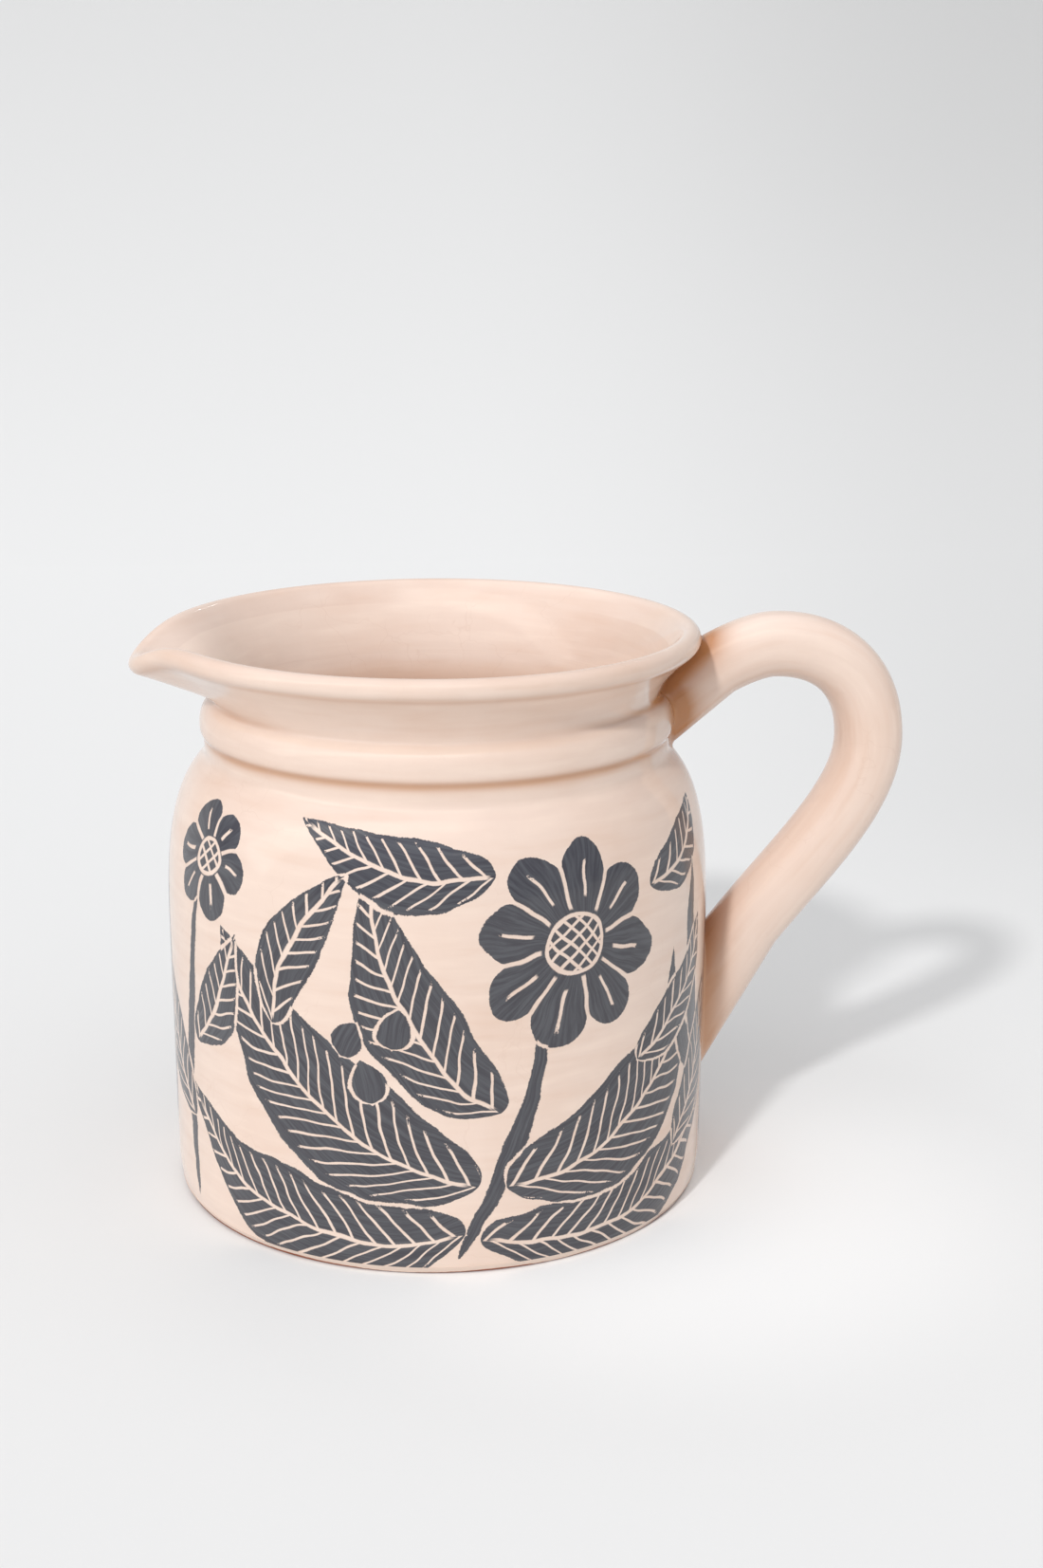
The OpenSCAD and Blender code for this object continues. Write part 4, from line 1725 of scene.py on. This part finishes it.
@dataclass(frozen=True)
class StripLight:
    """A long softbox in the surroundings, level from side to side and tilted over the front.

    It covers the directions within half_width of the plane through X and the direction height_deg above
    the front, from the left to where X reaches right_end.
    """

    height_deg: float
    half_width: float
    right_end: float
    strength: float

    def seen(self, graph: Graph, way: Socket) -> Value:
        """How bright it is in one direction.

        Args:
            graph: the graph to build in.
            way: the direction.

        Returns:
            The brightness, which fades in over each of the strip's edges.
        """
        height = math.radians(self.height_deg)
        off = graph.dot(way, (0.0, math.sin(height), math.cos(height)))
        over = graph.dot(way, (0.0, -math.cos(height), math.sin(height)))
        across = abs(off).ramp(self.half_width * 1.3, self.half_width * 0.7)
        left = graph.split(way)[0].ramp(self.right_end + 0.2, self.right_end - 0.2)
        return across * over.ramp(0.0, 0.1) * left * self.strength


@dataclass(frozen=True)
class Lamp:
    """A distant lamp: where it stands, how wide it looks, and which of shade and shine it takes part in.

    Attributes:
        name: its object's name.
        azimuth_deg: the side that it shines towards, from +X towards +Y.
        height_deg: how high it stands.
        disc_deg: how wide it looks.
        strength: its strength.
        shades: whether it lights matt surfaces.
        shines: whether it mirrors in glossy ones.
    """

    name: str
    azimuth_deg: float
    height_deg: float
    disc_deg: float
    strength: float
    shades: bool
    shines: bool

    def make(self) -> bpy.types.Object:
        """Adds the lamp to the scene.

        Returns:
            The lamp's object.
        """
        azimuth, height = math.radians(self.azimuth_deg), math.radians(self.height_deg)
        way = Vector((math.cos(height) * math.cos(azimuth), math.cos(height) * math.sin(azimuth),
                      -math.sin(height)))
        data = bpy.data.lights.new(self.name, "SUN")
        data.energy, data.angle = self.strength, math.radians(self.disc_deg)
        obj = placed(self.name, data)
        obj.rotation_mode = "QUATERNION"
        obj.rotation_quaternion = way.to_track_quat("-Z", "Y")
        obj.visible_diffuse, obj.visible_glossy = self.shades, self.shines
        return obj


@dataclass(frozen=True)
class Studio:
    """The lamps, the surrounding light and the camera, as the photograph's own were worked out to be."""

    camera_at: tuple[float, float, float] = (-0.0498, -0.6327, 0.2842)
    heading_deg: float = 6.6
    pitch_deg: float = 15.178
    roll_deg: float = 0.154
    lens_mm: float = 54.44
    sensor_mm: float = 36.0
    lamps: tuple[Lamp, ...] = (
        Lamp("key_lamp", 60.2, 35.0, 4.5, 1.42, shades=True, shines=False),
        Lamp("glint_lamp", 240.0, 36.0, 1.1, 0.014, shades=False, shines=True),
    )
    around_least: float = 0.33
    around_seen: float = 0.89
    around_pool: SoftLight = SoftLight((-0.2, -0.2, 1.0), 2.0, 1.12)
    mirrored_strip: StripLight = StripLight(57.0, 0.13, 0.25, 1.1)
    around_colour: Colour = (0.975, 0.983, 1.0)
    mirrored_colour: Colour = (0.85, 0.93, 1.12)

    def camera(self) -> bpy.types.Object:
        """Makes the camera from its place, heading, pitch and roll, and looks through it.

        Returns:
            The camera.
        """
        heading, pitch, roll = (math.radians(v) for v in (self.heading_deg, self.pitch_deg, self.roll_deg))
        ahead = Vector((math.sin(heading) * math.cos(pitch), math.cos(heading) * math.cos(pitch),
                        -math.sin(pitch)))
        right = Vector((math.cos(heading), -math.sin(heading), 0.0))
        up = right.cross(ahead)
        across = math.cos(roll) * right + math.sin(roll) * up
        upright = math.cos(roll) * up - math.sin(roll) * right
        data = bpy.data.cameras.new("photo_camera")
        data.lens, data.sensor_width = self.lens_mm, self.sensor_mm
        data.clip_start, data.clip_end = 0.01, 50.0
        obj = placed("photo_camera", data)
        axes = Matrix((across, upright, -ahead)).transposed().to_4x4()
        obj.matrix_world = Matrix.Translation(self.camera_at) @ axes
        bpy.context.scene.camera = obj
        return obj

    def around(self) -> None:
        """Sets the soft light from all sides, what glossy surfaces mirror, and what the camera sees."""
        world = bpy.data.worlds.new("studio")
        bpy.context.scene.world = world
        world.use_nodes = True
        g = Graph(world.node_tree)
        light = world.node_tree.nodes["Background"].inputs
        way = g.put("TexCoord").outputs["Generated"]
        path = g.put("LightPath").outputs
        mirrored, seen = g.value(path["Is Glossy Ray"]), g.value(path["Is Camera Ray"])
        strip = self.mirrored_strip.seen(g, way)
        lit = self.around_pool.seen(g, way) + self.around_least + mirrored * strip
        g.feed(light["Color"], g.mix(mirrored - strip, self.around_colour, self.mirrored_colour))
        g.feed(light["Strength"], lit * (1.0 - seen) + seen * self.around_seen)


def main() -> None:
    """Builds the pot, the foot and the handle, dresses them, and sets the stage round them."""
    logging.basicConfig(level=logging.INFO, format="%(message)s")
    bpy.context.scene.view_settings.view_transform = "Standard"
    tone, cracks = glaze_tone_group(), crazing_group()
    plain = Glaze("plain_glaze", tone, cracks).make()
    motifs = {Leaf: leaf_group(), Bloom: bloom_group()}
    edges = np.array([0.0, *FRIEZE_EDGES_DEG, 180.0]) / 360 * TURN_LENGTH
    decorated = [Glaze(f"decorated_glaze_{i + 1}", tone, cracks, motifs, Frieze().part(low, high)).make()
                 for i, (low, high) in enumerate(zip(edges[:-1], edges[1:]))]
    bare = BareClay(tone).make()

    pot, handle = ThrownPot(), PulledHandle()
    sheet = pot.sheet(handle.line(), handle.thick_low / 2)
    for piece in [FootRing().piece(bare), *pot.pieces(sheet, plain, decorated, bare),
                  *handle.pieces(pot.outline(180.0), plain)]:
        piece.make()

    Backdrop().make()
    studio = Studio()
    studio.camera()
    for lamp in studio.lamps:
        lamp.make()
    studio.around()


if __name__ == "__main__":
    main()
